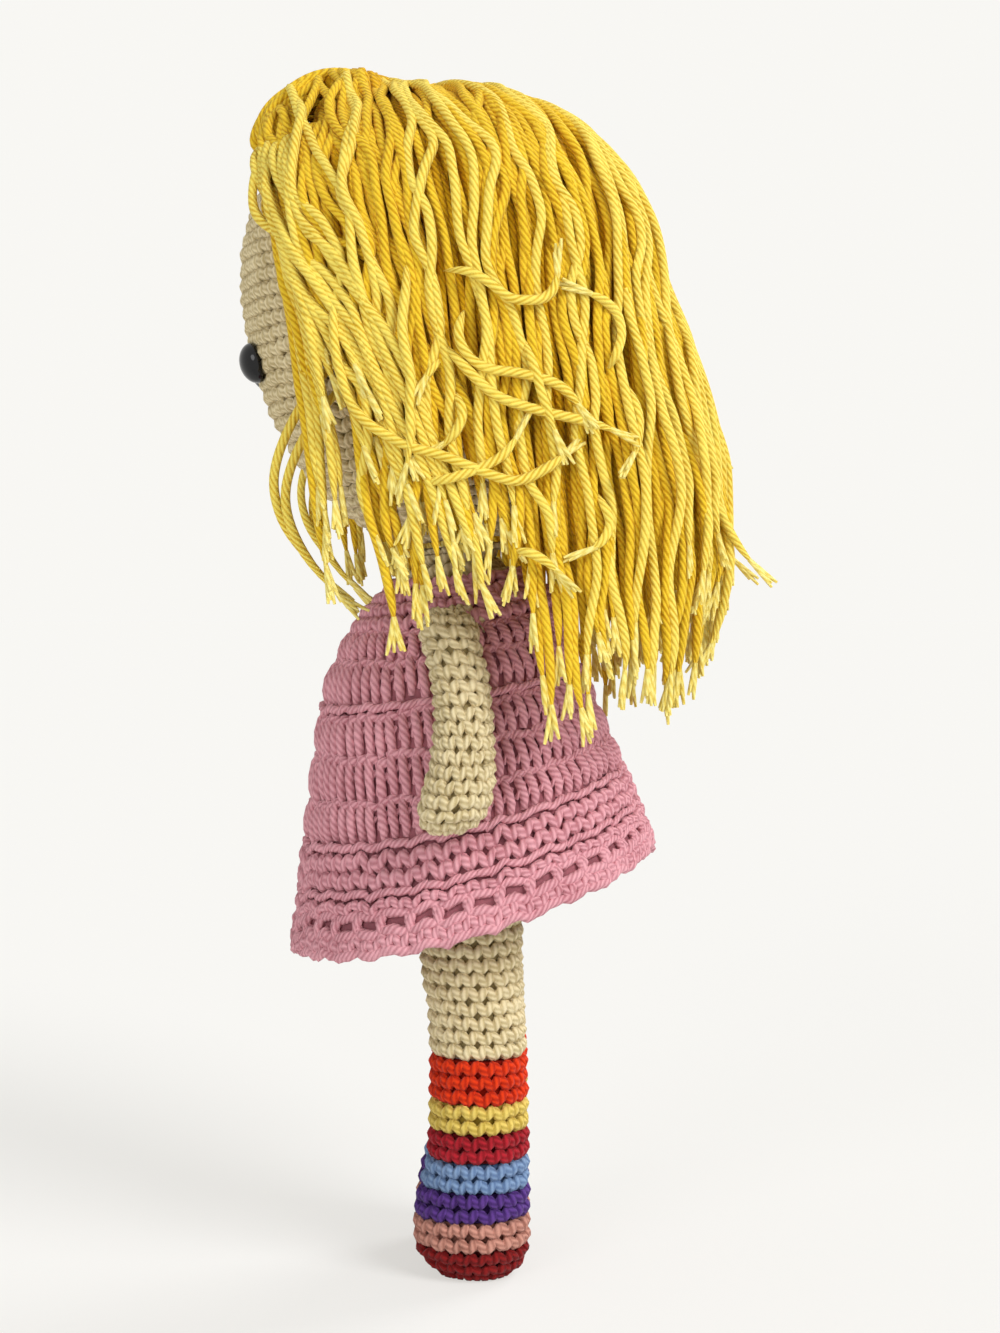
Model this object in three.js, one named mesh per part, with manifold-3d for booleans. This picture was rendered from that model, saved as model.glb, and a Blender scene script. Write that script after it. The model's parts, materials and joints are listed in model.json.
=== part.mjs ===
// Amigurumi doll: a stuffed crochet doll with loose yarn hair, a bell-shaped dress and striped socks.
// Millimetres and degrees. +Z is up, the doll faces -Y and its left side is +X.
// The doll stands on z = 0. Its head, body, dress and arms lean forward over the legs as one.
import * as THREE from "three";
import { mergeVertices } from "three/addons/utils/BufferGeometryUtils.js";
import Module from "manifold-3d";

const wasm = await Module();
wasm.setup();
const { degToRad, lerp, smoothstep } = THREE.MathUtils;

// Fabric and fits
const FABRIC = 3; // thickness of the crocheted covers
const SEAM_GAP = 0.3; // between pieces that are sewn or worked together
const JOINT_GAP = 0.5; // between pieces that turn on each other
const YARN = 1.8; // thickness of the sewing yarn
const ROUND_HEIGHT = 3.76; // height of one round of single crochet

// Legs, measured up from the sole
const HIP_HEIGHT = 104;
const HIP_SPACING = 30;
const HIP_RADIUS = 13.4;
const KNEE_RADIUS = 12.1;
const SHIN_RADIUS = 12.5;
const FOOT_RADIUS = 13;
const TOE_REACH = 3.6; // how far the toe swells past the shin
const TOE_TOP = 34;
const LEG_SWAY = 2.3; // how far the shin stands behind the hip
const SOLE_HEIGHT = 8.3;
const SOLE_CUT = 0.5; // depth of the flat under the rounded sole
const SOLE_CURVE = 45; // radius of the rounded sole

// Torso, measured up from the hips along the leaning body
const LEAN = 5.5;
const TORSO_RADIUS = 24.5;
const TORSO_BOTTOM = 4;
const BELLY_HEIGHT = 14; // height of the rounded underside
const NECK_RADIUS = 12;
const NECK_SEAM = 83.5;

// Dress, measured up from the hips
const NECKLINE_HEIGHT = 77;
const NECKLINE_RADIUS = 16.5;
const YOKE_HEIGHT = 68;
const YOKE_RADIUS = 26;
const CHEST_HEIGHT = 48;
const CHEST_RADIUS = 34.5;
const SKIRT_HEIGHT = 17;
const SKIRT_RADIUS = 42.5;
const HEM_HEIGHT = -10;
const HEM_RADIUS = 49;
const HEM_FRONT_DROP = 7; // the hem hangs lower in front
const HEM_BACK_LIFT = 10.5; // and kicks up behind
const EDGING_HEIGHT = 10;
const EDGING_SCALLOP = 1.2;

// Head, measured up from the neck seam
const HEAD_RADIUS = 49.5;
const HEAD_WIDEST = 66;
const HEAD_CROWN = 47; // from the widest round to the top
const HEAD_SETBACK = 4.8;
const EYE_RADIUS = 5.25;
const EYE_DOME = 4;
const EYE_HEIGHT = 50.5;
const EYE_ANGLE = 17; // from the middle of the face
const SHANK_RADIUS = 1.8;
const SHANK_LENGTH = 10;
const WASHER_RADIUS = 4.6;
const WASHER_THICKNESS = 1.6;

// Arms, measured along the arm from the shoulder
const SHOULDER_HEIGHT = 62;
const SHOULDER_SETBACK = 3.9; // the arm hangs at rest below its root
const ARM_TOP_FORWARD = 2.9; // from the root to the middle of the upper arm
const ARM_LENGTH = 51.5;
const ARM_RADIUS = 6.9;
const HAND_RADIUS = 8.8;
const ARM_SPLAY = 22;
const ARM_BOW = 5.9; // how far the elbow bows back
const HAND_FORWARD = 4.6;
const ARM_ROOT_RADIUS = 4.2; // the end that is sewn on, inside the armhole
const ARM_CLEARANCE = 1; // from the dress

// Hair, measured from the neck seam
const HAIR_SEAT = 0.9; // from the head cover to the yarn, which spans the rounds below it
const HAIR_CLEARANCE = 2.5; // from the arms
const CROWN_RADIUS = 4; // of the whorl where the rows of knots meet
const CROWN_HAIR = 4.3;
const FRINGE_POOF = 15; // where the fringe stands up over the forehead
const FRINGE_TIP = 6;
const SIDE_HAIR = 8;
const BACK_HAIR = 19;
const HAIR_TIP = 4.5;
const FRINGE_EDGE = 31; // the fringe ends this far above the widest round, in the middle
const FRINGE_SPAN = 54; // azimuth from the face to the side hair
const SIDE_SPAN = 104; // azimuth from the face to the back hair
const SIDE_DROP = 15; // below the neck seam
const CHEEK_DROP = 4; // of the strands beside the face
const FRONT_LOCK_DROP = 25;
const FRONT_LOCK_AT = 71; // azimuth of the longest front strands
const BACK_DROP = 48;
const NAPE_DROP = 34;

const STRIPES = [
  { name: "orange_red", rounds: 3, colour: "#d2461e" },
  { name: "yellow", rounds: 2, colour: "#ddd07a" },
  { name: "crimson", rounds: 2, colour: "#b22f42" },
  { name: "light_blue", rounds: 2, colour: "#7697bd" },
  { name: "violet", rounds: 2, colour: "#4c2a86" },
  { name: "salmon", rounds: 2, colour: "#c78c7d" },
];
const COLOURS = {
  skin: "#ddd2b4",
  dress: "#dd9aa8",
  hair: "#efd654",
  filling: "#f2efe6",
  sole: "#6e0d12",
  eye: "#0a0a0c",
  washer: "#e6e4de",
};

// Sizes that follow from the ones above
const sockRounds = STRIPES.reduce((sum, stripe) => sum + stripe.rounds, 0);
const sockTop = SOLE_HEIGHT + sockRounds * ROUND_HEIGHT;
const soleFlat = Math.sqrt(2 * SOLE_CURVE * SOLE_CUT);
const headBelow = HEAD_WIDEST / Math.sqrt(1 - (NECK_RADIUS / HEAD_RADIUS) ** 2);
const headTop = HEAD_WIDEST + HEAD_CROWN;
const edgingTop = HEM_HEIGHT + EDGING_HEIGHT;

const point = (r, z) => new THREE.Vector2(r, z);
const steps = (from, to, count) =>
  Array.from({ length: count + 1 }, (_, i) => lerp(from, to, i / count));

// The radius of a profile line, whose heights rise, at height z.
function radiusAt(line, z) {
  const above = line.findIndex((p) => p.y >= z);
  if (above < 0) return line[line.length - 1].x;
  if (above === 0) return line[0].x;
  const [a, b] = [line[above - 1], line[above]];
  return lerp(a.x, b.x, (z - a.y) / (b.y - a.y));
}

const legLine = new THREE.SplineCurve([
  point(soleFlat, 0),
  point(FOOT_RADIUS * 0.84, SOLE_HEIGHT * 0.36),
  point(FOOT_RADIUS, SOLE_HEIGHT * 1.2),
  point(lerp(FOOT_RADIUS, SHIN_RADIUS, 0.5), TOE_TOP * 0.75),
  point(SHIN_RADIUS, lerp(TOE_TOP, sockTop, 0.5)),
  point(KNEE_RADIUS, lerp(sockTop, HIP_HEIGHT, 0.25)),
  point(HIP_RADIUS, lerp(sockTop, HIP_HEIGHT, 0.7)),
  point(HIP_RADIUS, HIP_HEIGHT),
]).getPoints(60);

const dressLine = new THREE.SplineCurve([
  point(HEM_RADIUS, HEM_HEIGHT),
  point(SKIRT_RADIUS, SKIRT_HEIGHT),
  point(CHEST_RADIUS, CHEST_HEIGHT),
  point(YOKE_RADIUS, YOKE_HEIGHT),
  point(NECKLINE_RADIUS, NECKLINE_HEIGHT),
]).getPoints(60);

const armLine = new THREE.SplineCurve([
  point(0.4, -ARM_LENGTH),
  point(HAND_RADIUS * 0.72, -ARM_LENGTH + HAND_RADIUS * 0.28),
  point(HAND_RADIUS, -ARM_LENGTH + HAND_RADIUS),
  point(lerp(ARM_RADIUS, HAND_RADIUS, 0.35), -ARM_LENGTH + 2.2 * HAND_RADIUS),
  point(ARM_RADIUS, -ARM_LENGTH * 0.4),
  point(ARM_RADIUS, 0),
]).getPoints(40);

// The head cover's outline, from the neck opening to the crown: fuller above its widest round.
function headPoint(angle) {
  if (angle < 0) {
    return point(HEAD_RADIUS * Math.cos(angle), HEAD_WIDEST + headBelow * Math.sin(angle));
  }
  const full = 2 / 2.3;
  const across = Math.max(Math.cos(angle), 0) ** full;
  return point(HEAD_RADIUS * across, HEAD_WIDEST + HEAD_CROWN * Math.sin(angle) ** full);
}

// A solid of revolution about Z. Its profile runs up the outside and down the inside.
function revolve(profile, segments) {
  return new THREE.LatheGeometry(profile, segments).rotateX(Math.PI / 2);
}

// Moves each vertex of a geometry by a function of its place.
function reshape(geometry, move) {
  const place = new THREE.Vector3();
  const positions = geometry.getAttribute("position");
  for (let i = 0; i < positions.count; i++) {
    place.fromBufferAttribute(positions, i);
    move(place);
    positions.setXYZ(i, place.x, place.y, place.z);
  }
  return geometry;
}

// A closed slab between two grids of points, row by row.
function slab(outer, inner) {
  const rows = outer.length;
  const columns = outer[0].length;
  const places = [...outer.flat(), ...inner.flat()];
  const front = (i, j) => i * columns + j;
  const back = (i, j) => rows * columns + i * columns + j;
  const faces = [];
  const quad = (a, b, c, d) => faces.push(a, b, c, a, c, d);
  for (let i = 0; i < rows - 1; i++) {
    for (let j = 0; j < columns - 1; j++) {
      quad(front(i, j), front(i + 1, j), front(i + 1, j + 1), front(i, j + 1));
      quad(back(i, j), back(i, j + 1), back(i + 1, j + 1), back(i + 1, j));
    }
    const last = columns - 1;
    quad(front(i, 0), back(i, 0), back(i + 1, 0), front(i + 1, 0));
    quad(front(i, last), front(i + 1, last), back(i + 1, last), back(i, last));
  }
  for (let j = 0; j < columns - 1; j++) {
    const last = rows - 1;
    quad(front(0, j), front(0, j + 1), back(0, j + 1), back(0, j));
    quad(front(last, j), back(last, j), back(last, j + 1), front(last, j + 1));
  }
  const geometry = new THREE.BufferGeometry().setFromPoints(places);
  geometry.setIndex(faces);
  return geometry;
}

function toSolid(geometry) {
  const bare = new THREE.BufferGeometry();
  bare.setAttribute("position", geometry.getAttribute("position"));
  bare.setIndex(geometry.index);
  const merged = mergeVertices(bare, 1e-4);
  const mesh = new wasm.Mesh({
    numProp: 3,
    vertProperties: merged.attributes.position.array,
    triVerts: new Uint32Array(merged.index.array),
  });
  return new wasm.Manifold(mesh);
}

function toGeometry(solid) {
  const mesh = solid.getMesh();
  const geometry = new THREE.BufferGeometry();
  geometry.setAttribute("position", new THREE.BufferAttribute(mesh.vertProperties, 3));
  geometry.setIndex(new THREE.BufferAttribute(mesh.triVerts, 1));
  return geometry;
}

function cut(geometry, ...tools) {
  return toGeometry(tools.reduce((rest, tool) => rest.subtract(toSolid(tool)), toSolid(geometry)));
}

function mirrored(geometry, side) {
  if (side > 0) return geometry;
  const flipped = geometry.clone().scale(-1, 1, 1);
  const index = Array.from(flipped.index.array);
  for (let i = 0; i < index.length; i += 3) {
    [index[i + 1], index[i + 2]] = [index[i + 2], index[i + 1]];
  }
  flipped.setIndex(index);
  return flipped;
}

function piece(name, geometry, colour, roughness = 0.95) {
  const shape = geometry.clone();
  shape.computeVertexNormals();
  const material = new THREE.MeshStandardMaterial({ color: colour, roughness, metalness: 0 });
  const mesh = new THREE.Mesh(shape, material);
  mesh.name = name;
  return mesh;
}

// Leg pieces: sleeves of fabric stacked from the sole to the hip, round one filling.
const LEG_SEGMENTS = 14;

// The shin sways back and the toe swells forward.
function poseLeg(geometry) {
  return reshape(geometry, (place) => {
    const z = THREE.MathUtils.clamp(place.z, 0, HIP_HEIGHT);
    const share = Math.max(-place.y, 0) / radiusAt(legLine, z);
    const rise = 0.4 + 0.6 * smoothstep(z, 0, SOLE_HEIGHT);
    const toe = rise * (1 - smoothstep(z, TOE_TOP * 0.45, TOE_TOP));
    place.y -= TOE_REACH * toe * share ** 1.5;
    place.y += LEG_SWAY * (1 - smoothstep(z, sockTop, HIP_HEIGHT - HIP_RADIUS));
  });
}

function legSleeve(bottom, top) {
  const heights = [bottom, top];
  const outside = heights.map((z) => point(radiusAt(legLine, z), z));
  const inside = heights.map((z) => point(radiusAt(legLine, z) - FABRIC, z)).reverse();
  return poseLeg(revolve([...outside, ...inside, outside[0]], LEG_SEGMENTS));
}

function legSole() {
  const top = SOLE_HEIGHT - SEAM_GAP / 2;
  const outside = steps(0, top, 4).map((z) => point(radiusAt(legLine, z), z));
  const inside = steps(FABRIC, top, 2).map((z) => point(radiusAt(legLine, z) - FABRIC, z));
  const profile = [point(0, 0), ...outside, ...inside.reverse(), point(0, FABRIC)];
  return poseLeg(revolve(profile, LEG_SEGMENTS));
}

function dome(radius, opening, count) {
  const last = Math.acos(opening / radius);
  return steps(0, last, count).map((a) => {
    return point(radius * Math.cos(a), HIP_HEIGHT + radius * Math.sin(a));
  });
}

function legCover() {
  const heights = steps(sockTop + SEAM_GAP / 2, HIP_HEIGHT, 4).slice(0, -1);
  const outside = heights.map((z) => point(radiusAt(legLine, z), z));
  const inside = heights.map((z) => point(radiusAt(legLine, z) - FABRIC, z)).reverse();
  const opening = HIP_RADIUS * 0.25;
  const top = dome(HIP_RADIUS, opening, 4);
  const lining = dome(HIP_RADIUS - FABRIC, opening, 3).reverse();
  return poseLeg(revolve([...outside, ...top, ...lining, ...inside, outside[0]], LEG_SEGMENTS));
}

function legFilling() {
  const inset = FABRIC + SEAM_GAP;
  const heights = steps(inset, HIP_HEIGHT, 7).slice(0, -1);
  const outside = heights.map((z) => point(radiusAt(legLine, z) - inset, z));
  const profile = [point(0, inset), ...outside, ...dome(HIP_RADIUS - inset, 0, 3)];
  return poseLeg(revolve(profile, LEG_SEGMENTS));
}

function leg(side, sideName) {
  const group = new THREE.Group();
  group.name = `leg_${sideName}_frame`;
  group.position.x = (side * HIP_SPACING) / 2;
  const add = (name, geometry, colour) => {
    group.add(piece(`${name}_${sideName}`, mirrored(geometry, side), colour));
  };
  add("leg_filling", legFilling(), COLOURS.filling);
  add("leg_cover", legCover(), COLOURS.skin);
  add("sock_sole", legSole(), COLOURS.sole);
  let top = sockTop;
  for (const stripe of STRIPES) {
    const bottom = top - stripe.rounds * ROUND_HEIGHT;
    const sleeve = legSleeve(bottom + SEAM_GAP / 2, top - SEAM_GAP / 2);
    add(`sock_${stripe.name}`, sleeve, stripe.colour);
    top = bottom;
  }
  return group;
}

// Torso: a cover whose underside has a socket for each leg, and its filling.
const TORSO_SEGMENTS = 18;

function torsoRadius(z) {
  return Math.min(TORSO_RADIUS, radiusAt(dressLine, z) - FABRIC - SEAM_GAP);
}

function torsoProfile(inset, top) {
  const under = steps(0, Math.PI / 2, 4).map((a) => {
    const z = TORSO_BOTTOM + inset + (BELLY_HEIGHT - inset) * (1 - Math.cos(a));
    return point((TORSO_RADIUS - inset) * Math.sin(a), z);
  });
  const side = steps(TORSO_BOTTOM + BELLY_HEIGHT, NECKLINE_HEIGHT, 6).slice(1);
  const walls = side.map((z) => {
    return point(Math.max(torsoRadius(z), NECK_RADIUS) - inset, z);
  });
  const neck = [point(NECK_RADIUS - inset, NECKLINE_HEIGHT + 1), point(NECK_RADIUS - inset, top)];
  return [...under, ...walls, ...neck, point(0, top)];
}

// The neck and the neckline stand a little behind the middle of the body, below the head's middle.
function poseNeck(place) {
  place.y += HEAD_SETBACK * smoothstep(place.z, CHEST_HEIGHT, NECKLINE_HEIGHT);
}

// Balls about the hips, whose facets lie outside the radius.
function hipBalls(radius) {
  const segments = 16;
  const size = radius / Math.cos(Math.PI / segments) ** 2;
  return [1, -1].map((side) => {
    const ball = new THREE.SphereGeometry(size, segments, segments / 2);
    return ball.translate((side * HIP_SPACING) / 2, 0, 0);
  });
}

function torsoCover() {
  const socket = HIP_RADIUS + JOINT_GAP;
  const lining = revolve(torsoProfile(FABRIC, NECK_SEAM + 1), TORSO_SEGMENTS);
  const room = cut(reshape(lining, poseNeck), ...hipBalls(socket + FABRIC));
  const outside = revolve(torsoProfile(0, NECK_SEAM), TORSO_SEGMENTS);
  return cut(reshape(outside, poseNeck), room, ...hipBalls(socket));
}

function torsoFilling() {
  const inset = FABRIC + SEAM_GAP;
  const wall = HIP_RADIUS + JOINT_GAP + inset;
  const body = revolve(torsoProfile(inset, NECK_SEAM), TORSO_SEGMENTS);
  return cut(reshape(body, poseNeck), ...hipBalls(wall));
}

// A ring of sewing yarn about Z, or about X for a shoulder.
function seamRing(radius, height) {
  const around = steps(0, 2 * Math.PI, 5);
  const section = around.map((a) => {
    return point(radius + (YARN / 2) * Math.cos(a), height + (YARN / 2) * Math.sin(a));
  });
  return revolve(section, 14);
}

// Dress: one bell of fabric with armholes, and the edging below it.
const DRESS_SEGMENTS = 28;

// The hem hangs lower in front than behind, and the rounds above it even out.
function poseHem(place) {
  const along = -place.y / Math.max(Math.hypot(place.x, place.y), 1e-6);
  const side = (HEM_BACK_LIFT - HEM_FRONT_DROP) / 2;
  const swing = (HEM_BACK_LIFT + HEM_FRONT_DROP) / 2;
  const share = 1 - smoothstep(place.z, HEM_HEIGHT, CHEST_HEIGHT + 8);
  place.z += share * (side * (2 * along * along - 1) - swing * along);
}

function dressCover() {
  const heights = steps(edgingTop + SEAM_GAP / 2, NECKLINE_HEIGHT, 9);
  const outside = heights.map((z) => point(radiusAt(dressLine, z), z));
  const inside = outside.map((p) => point(p.x - FABRIC, p.y)).reverse();
  const bell = revolve([...outside, ...inside, outside[0]], DRESS_SEGMENTS);
  reshape(bell, poseHem);
  reshape(bell, poseNeck);
  const armhole = new THREE.CylinderGeometry(armholeRadius, armholeRadius, 4 * HEM_RADIUS, 16);
  armhole.rotateZ(Math.PI / 2).translate(0, SHOULDER_SETBACK, SHOULDER_HEIGHT);
  return cut(bell, armhole);
}

function hemEdging() {
  const heights = [HEM_HEIGHT, edgingTop - SEAM_GAP / 2];
  const outside = heights.map((z) => point(radiusAt(dressLine, z), z));
  const inside = outside.map((p) => point(p.x - FABRIC, p.y)).reverse();
  const ring = revolve([...outside, ...inside, outside[0]], 2 * DRESS_SEGMENTS);
  return reshape(ring, (place) => {
    const turn = Math.atan2(place.x, -place.y);
    const low = 1 - smoothstep(place.z, HEM_HEIGHT, lerp(HEM_HEIGHT, edgingTop, 0.4));
    const scallop = Math.cos(DRESS_SEGMENTS * turn) * EDGING_SCALLOP * low;
    poseHem(place);
    place.z += scallop;
  });
}

// Arms: each hangs clear of the dress from a root that passes through the armhole.
const ARM_SEGMENTS = 12;
const splay = degToRad(ARM_SPLAY);
const armholeRadius = ARM_ROOT_RADIUS + JOINT_GAP + YARN + SEAM_GAP;

// How far out the shoulder must be for every level of the arm to clear the dress.
const shoulderX = Math.max(
  ...steps(0, -ARM_LENGTH, 25).map((z) => {
    const radius = radiusAt(armLine, z);
    const level = SHOULDER_HEIGHT + z * Math.cos(splay) - radius * Math.sin(splay);
    const wall = radiusAt(dressLine, level) + ARM_CLEARANCE;
    return wall + z * Math.sin(splay) + radius * Math.cos(splay);
  }),
);
const shoulderEnd = TORSO_RADIUS + JOINT_GAP;

function poseArm(geometry) {
  return reshape(geometry, (place) => {
    const share = THREE.MathUtils.clamp(-place.z / ARM_LENGTH, 0, 1);
    const bow = ARM_BOW * 2 * share * (1 - share);
    place.y += bow - HAND_FORWARD * share * share - ARM_TOP_FORWARD;
  });
}

function armProfile(inset, opening) {
  const bottom = -ARM_LENGTH + inset;
  const low = steps(bottom, -ARM_LENGTH + 2 * HAND_RADIUS, 6);
  const high = steps(-ARM_LENGTH + 2 * HAND_RADIUS, 0, 3).slice(1, -1);
  const tube = [...low.slice(1), ...high].map((z) => {
    return point(Math.max(radiusAt(armLine, z) - inset, 0.5), z);
  });
  const last = opening > 0 ? Math.acos(opening / (ARM_RADIUS - inset)) : Math.PI / 2;
  const cap = steps(0, last, 3).map((a) => {
    return point((ARM_RADIUS - inset) * Math.cos(a), (ARM_RADIUS - inset) * Math.sin(a));
  });
  return [point(0, bottom), ...tube, ...cap];
}

function armCover() {
  const opening = ARM_RADIUS * 0.3;
  const profile = [...armProfile(0, opening), ...armProfile(FABRIC, opening).reverse()];
  const sleeve = poseArm(revolve(profile, ARM_SEGMENTS)).rotateY(-splay);
  const length = shoulderX - shoulderEnd;
  const root = new THREE.CylinderGeometry(ARM_ROOT_RADIUS, ARM_ROOT_RADIUS, length, 14);
  root.rotateZ(Math.PI / 2).translate(-length / 2, 0, 0);
  const inside = poseArm(revolve(armProfile(FABRIC, 0), ARM_SEGMENTS)).rotateY(-splay);
  const stub = toSolid(root).subtract(toSolid(inside));
  return toGeometry(toSolid(sleeve).add(stub));
}

function armFilling() {
  const inset = FABRIC + SEAM_GAP;
  return poseArm(revolve(armProfile(inset, 0), ARM_SEGMENTS)).rotateY(-splay);
}

function arm(side, sideName) {
  const group = new THREE.Group();
  group.name = `arm_${sideName}_frame`;
  group.position.set(side * shoulderX, SHOULDER_SETBACK, SHOULDER_HEIGHT);
  group.add(piece(`arm_cover_${sideName}`, mirrored(armCover(), side), COLOURS.skin));
  group.add(piece(`arm_filling_${sideName}`, mirrored(armFilling(), side), COLOURS.filling));
  return group;
}

// Head: a cover with a hole for each eye, its filling, and the eyes with their washers.
const HEAD_SEGMENTS = 26;
const HEAD_ROUNDS = 13;

function headProfile(inset, count) {
  const opening = -Math.acos(NECK_RADIUS / HEAD_RADIUS);
  return steps(opening, Math.PI / 2, count).map((angle) => {
    const here = headPoint(angle);
    const ahead = headPoint(angle + 1e-3);
    const behind = headPoint(angle - 1e-3);
    const along = ahead.sub(behind).normalize();
    const pole = angle > Math.PI / 2 - 1e-6;
    if (pole) return point(0, headTop - inset);
    return point(Math.max(here.x - inset * along.y, 0), here.y + inset * along.x);
  });
}

const eyeLevel = Math.asin((EYE_HEIGHT - HEAD_WIDEST) / headBelow);
const eyeSpot = headPoint(eyeLevel);

function eyeFrame(side) {
  const turn = degToRad(EYE_ANGLE) * side;
  const out = Math.cos(eyeLevel) / HEAD_RADIUS;
  const up = Math.sin(eyeLevel) / headBelow;
  const normal = new THREE.Vector3(out * Math.sin(turn), -out * Math.cos(turn), up).normalize();
  const group = new THREE.Group();
  group.position.set(eyeSpot.x * Math.sin(turn), -eyeSpot.x * Math.cos(turn), eyeSpot.y);
  group.quaternion.setFromUnitVectors(new THREE.Vector3(0, 0, 1), normal);
  group.updateMatrix();
  return group;
}

function eyeTool(side, radius, from, to) {
  const tool = new THREE.CylinderGeometry(radius, radius, to - from, 12).rotateX(Math.PI / 2);
  return tool.translate(0, 0, (from + to) / 2).applyMatrix4(eyeFrame(side).matrix);
}

function eye() {
  const cap = steps(0, Math.PI / 2, 4).map((a) => {
    return point(EYE_RADIUS * Math.cos(a), SEAM_GAP + 0.4 + (EYE_DOME - 0.4) * Math.sin(a));
  });
  return revolve(
    [
      point(0, -SHANK_LENGTH),
      point(SHANK_RADIUS, -SHANK_LENGTH),
      point(SHANK_RADIUS, SEAM_GAP),
      point(EYE_RADIUS, SEAM_GAP),
      ...cap,
    ],
    16,
  );
}

const washerTop = -FABRIC - 0.9;

function washer() {
  const inside = SHANK_RADIUS + SEAM_GAP;
  const bottom = washerTop - WASHER_THICKNESS;
  return revolve(
    [
      point(inside, bottom),
      point(WASHER_RADIUS, bottom),
      point(WASHER_RADIUS, washerTop),
      point(inside, washerTop),
      point(inside, bottom),
    ],
    14,
  );
}

function headCover() {
  const shell = revolve(
    [...headProfile(FABRIC, HEAD_ROUNDS).reverse(), ...headProfile(0, HEAD_ROUNDS)],
    HEAD_SEGMENTS,
  );
  const holes = [1, -1].map((side) => eyeTool(side, SHANK_RADIUS + SEAM_GAP, -3 * FABRIC, FABRIC));
  return cut(shell, ...holes);
}

function headFilling() {
  const outline = headProfile(FABRIC + SEAM_GAP, HEAD_ROUNDS);
  const body = revolve([point(0, outline[0].y), ...outline], HEAD_SEGMENTS);
  const pockets = [1, -1].map((side) => {
    return eyeTool(side, WASHER_RADIUS + SEAM_GAP, -SHANK_LENGTH - SEAM_GAP, FABRIC);
  });
  return cut(body, ...pockets);
}

// Hair: slabs of yarn that run from the crown over the head and hang down, fluted like strands.
const HAIR_ROWS = 12;

// The inside of the hair hangs wide enough for the arms below it.
const hairFoot = -BACK_DROP;
const armDepth = SHOULDER_HEIGHT - NECK_SEAM - hairFoot;
const armReach = shoulderX + armDepth * Math.tan(splay) + ARM_RADIUS / Math.cos(splay);
const hairFootRadius = Math.max(armReach + HAIR_CLEARANCE, HEAD_RADIUS + HAIR_SEAT);

function hangRadius(z) {
  const share = (HEAD_WIDEST - z) / (HEAD_WIDEST - hairFoot);
  return lerp(HEAD_RADIUS + HAIR_SEAT, hairFootRadius, share);
}

function hairCurve(bottom) {
  const start = Math.acos((CROWN_RADIUS / HEAD_RADIUS) ** 1.15);
  const skull = [];
  for (const angle of steps(start, 0, 9)) {
    const spot = headPoint(angle);
    const ahead = headPoint(Math.max(angle - 1e-3, 0));
    const behind = headPoint(angle + 1e-3);
    const along = ahead.sub(behind).normalize();
    const seat = point(spot.x - along.y * HAIR_SEAT, spot.y + along.x * HAIR_SEAT);
    if (seat.y > bottom + 1) skull.push(seat);
  }
  if (bottom < HEAD_WIDEST) {
    const hang = steps(HEAD_WIDEST, bottom, 5).slice(1);
    return new THREE.SplineCurve([...skull, ...hang.map((z) => point(hangRadius(z), z))]);
  }
  const level = Math.asin(((bottom - HEAD_WIDEST) / HEAD_CROWN) ** 1.15);
  const end = headPoint(level);
  return new THREE.SplineCurve([...skull, point(end.x + HAIR_SEAT, end.y)]);
}

// One slab between two azimuths from the face. drop and depth give its end and its thickness.
function lock(from, to, columns, drop, depth) {
  const inner = [];
  const outer = [];
  for (let i = 0; i <= HAIR_ROWS; i++) {
    inner.push([]);
    outer.push([]);
  }
  for (let j = 0; j <= columns; j++) {
    const azimuth = lerp(from, to, j / columns);
    const strand = j % 2 === 0 ? 1 : 0.78;
    const curve = hairCurve(drop(azimuth) + (j % 2 === 0 ? 0 : 2.5));
    for (let i = 0; i <= HAIR_ROWS; i++) {
      const share = i / HAIR_ROWS;
      const spot = curve.getPoint(share);
      const along = curve.getTangent(share);
      const thick = depth(azimuth, spot.y) * strand;
      const inset = (SEAM_GAP / 2 / spot.x) * (1 - (2 * j) / columns);
      const turn = degToRad(azimuth) + inset;
      const place = (r, z) => new THREE.Vector3(r * Math.sin(turn), -r * Math.cos(turn), z);
      inner[i].push(place(spot.x, spot.y));
      outer[i].push(place(spot.x - along.y * thick, spot.y + along.x * thick));
    }
  }
  return slab(outer, inner);
}

function sideDepth(z) {
  const upper = lerp(CROWN_HAIR, SIDE_HAIR, 1 - smoothstep(z, HEAD_WIDEST, headTop));
  return lerp(HAIR_TIP, upper, smoothstep(z, -FRONT_LOCK_DROP - 4, 10));
}

function backDepth(azimuth, z) {
  const over = lerp(CROWN_HAIR, BACK_HAIR * 0.58, 1 - smoothstep(z, HEAD_WIDEST, headTop));
  const hang = lerp(over, BACK_HAIR, 1 - smoothstep(z, 5, HEAD_WIDEST));
  const full = lerp(HAIR_TIP, hang, smoothstep(z, -BACK_DROP, 0));
  const side = lerp(HAIR_TIP, sideDepth(Math.max(z, 10)), smoothstep(z, -BACK_DROP, 0));
  return lerp(side, full, smoothstep(azimuth, SIDE_SPAN, 165));
}

function fringeDepth(azimuth, z) {
  const fall = THREE.MathUtils.clamp((headTop - z) / (HEAD_CROWN - FRINGE_EDGE), 0, 1);
  const poof = Math.sin(Math.PI * fall ** 0.33);
  const near = 1 - 0.5 * smoothstep(azimuth, 0, FRINGE_SPAN);
  return lerp(FRINGE_TIP, FRINGE_POOF, poof * near);
}

function fringe() {
  const edge = (azimuth) => {
    return HEAD_WIDEST + FRINGE_EDGE * (1 - 0.95 * (azimuth / FRINGE_SPAN) ** 1.6);
  };
  return lock(0, FRINGE_SPAN, 10, edge, fringeDepth);
}

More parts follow.
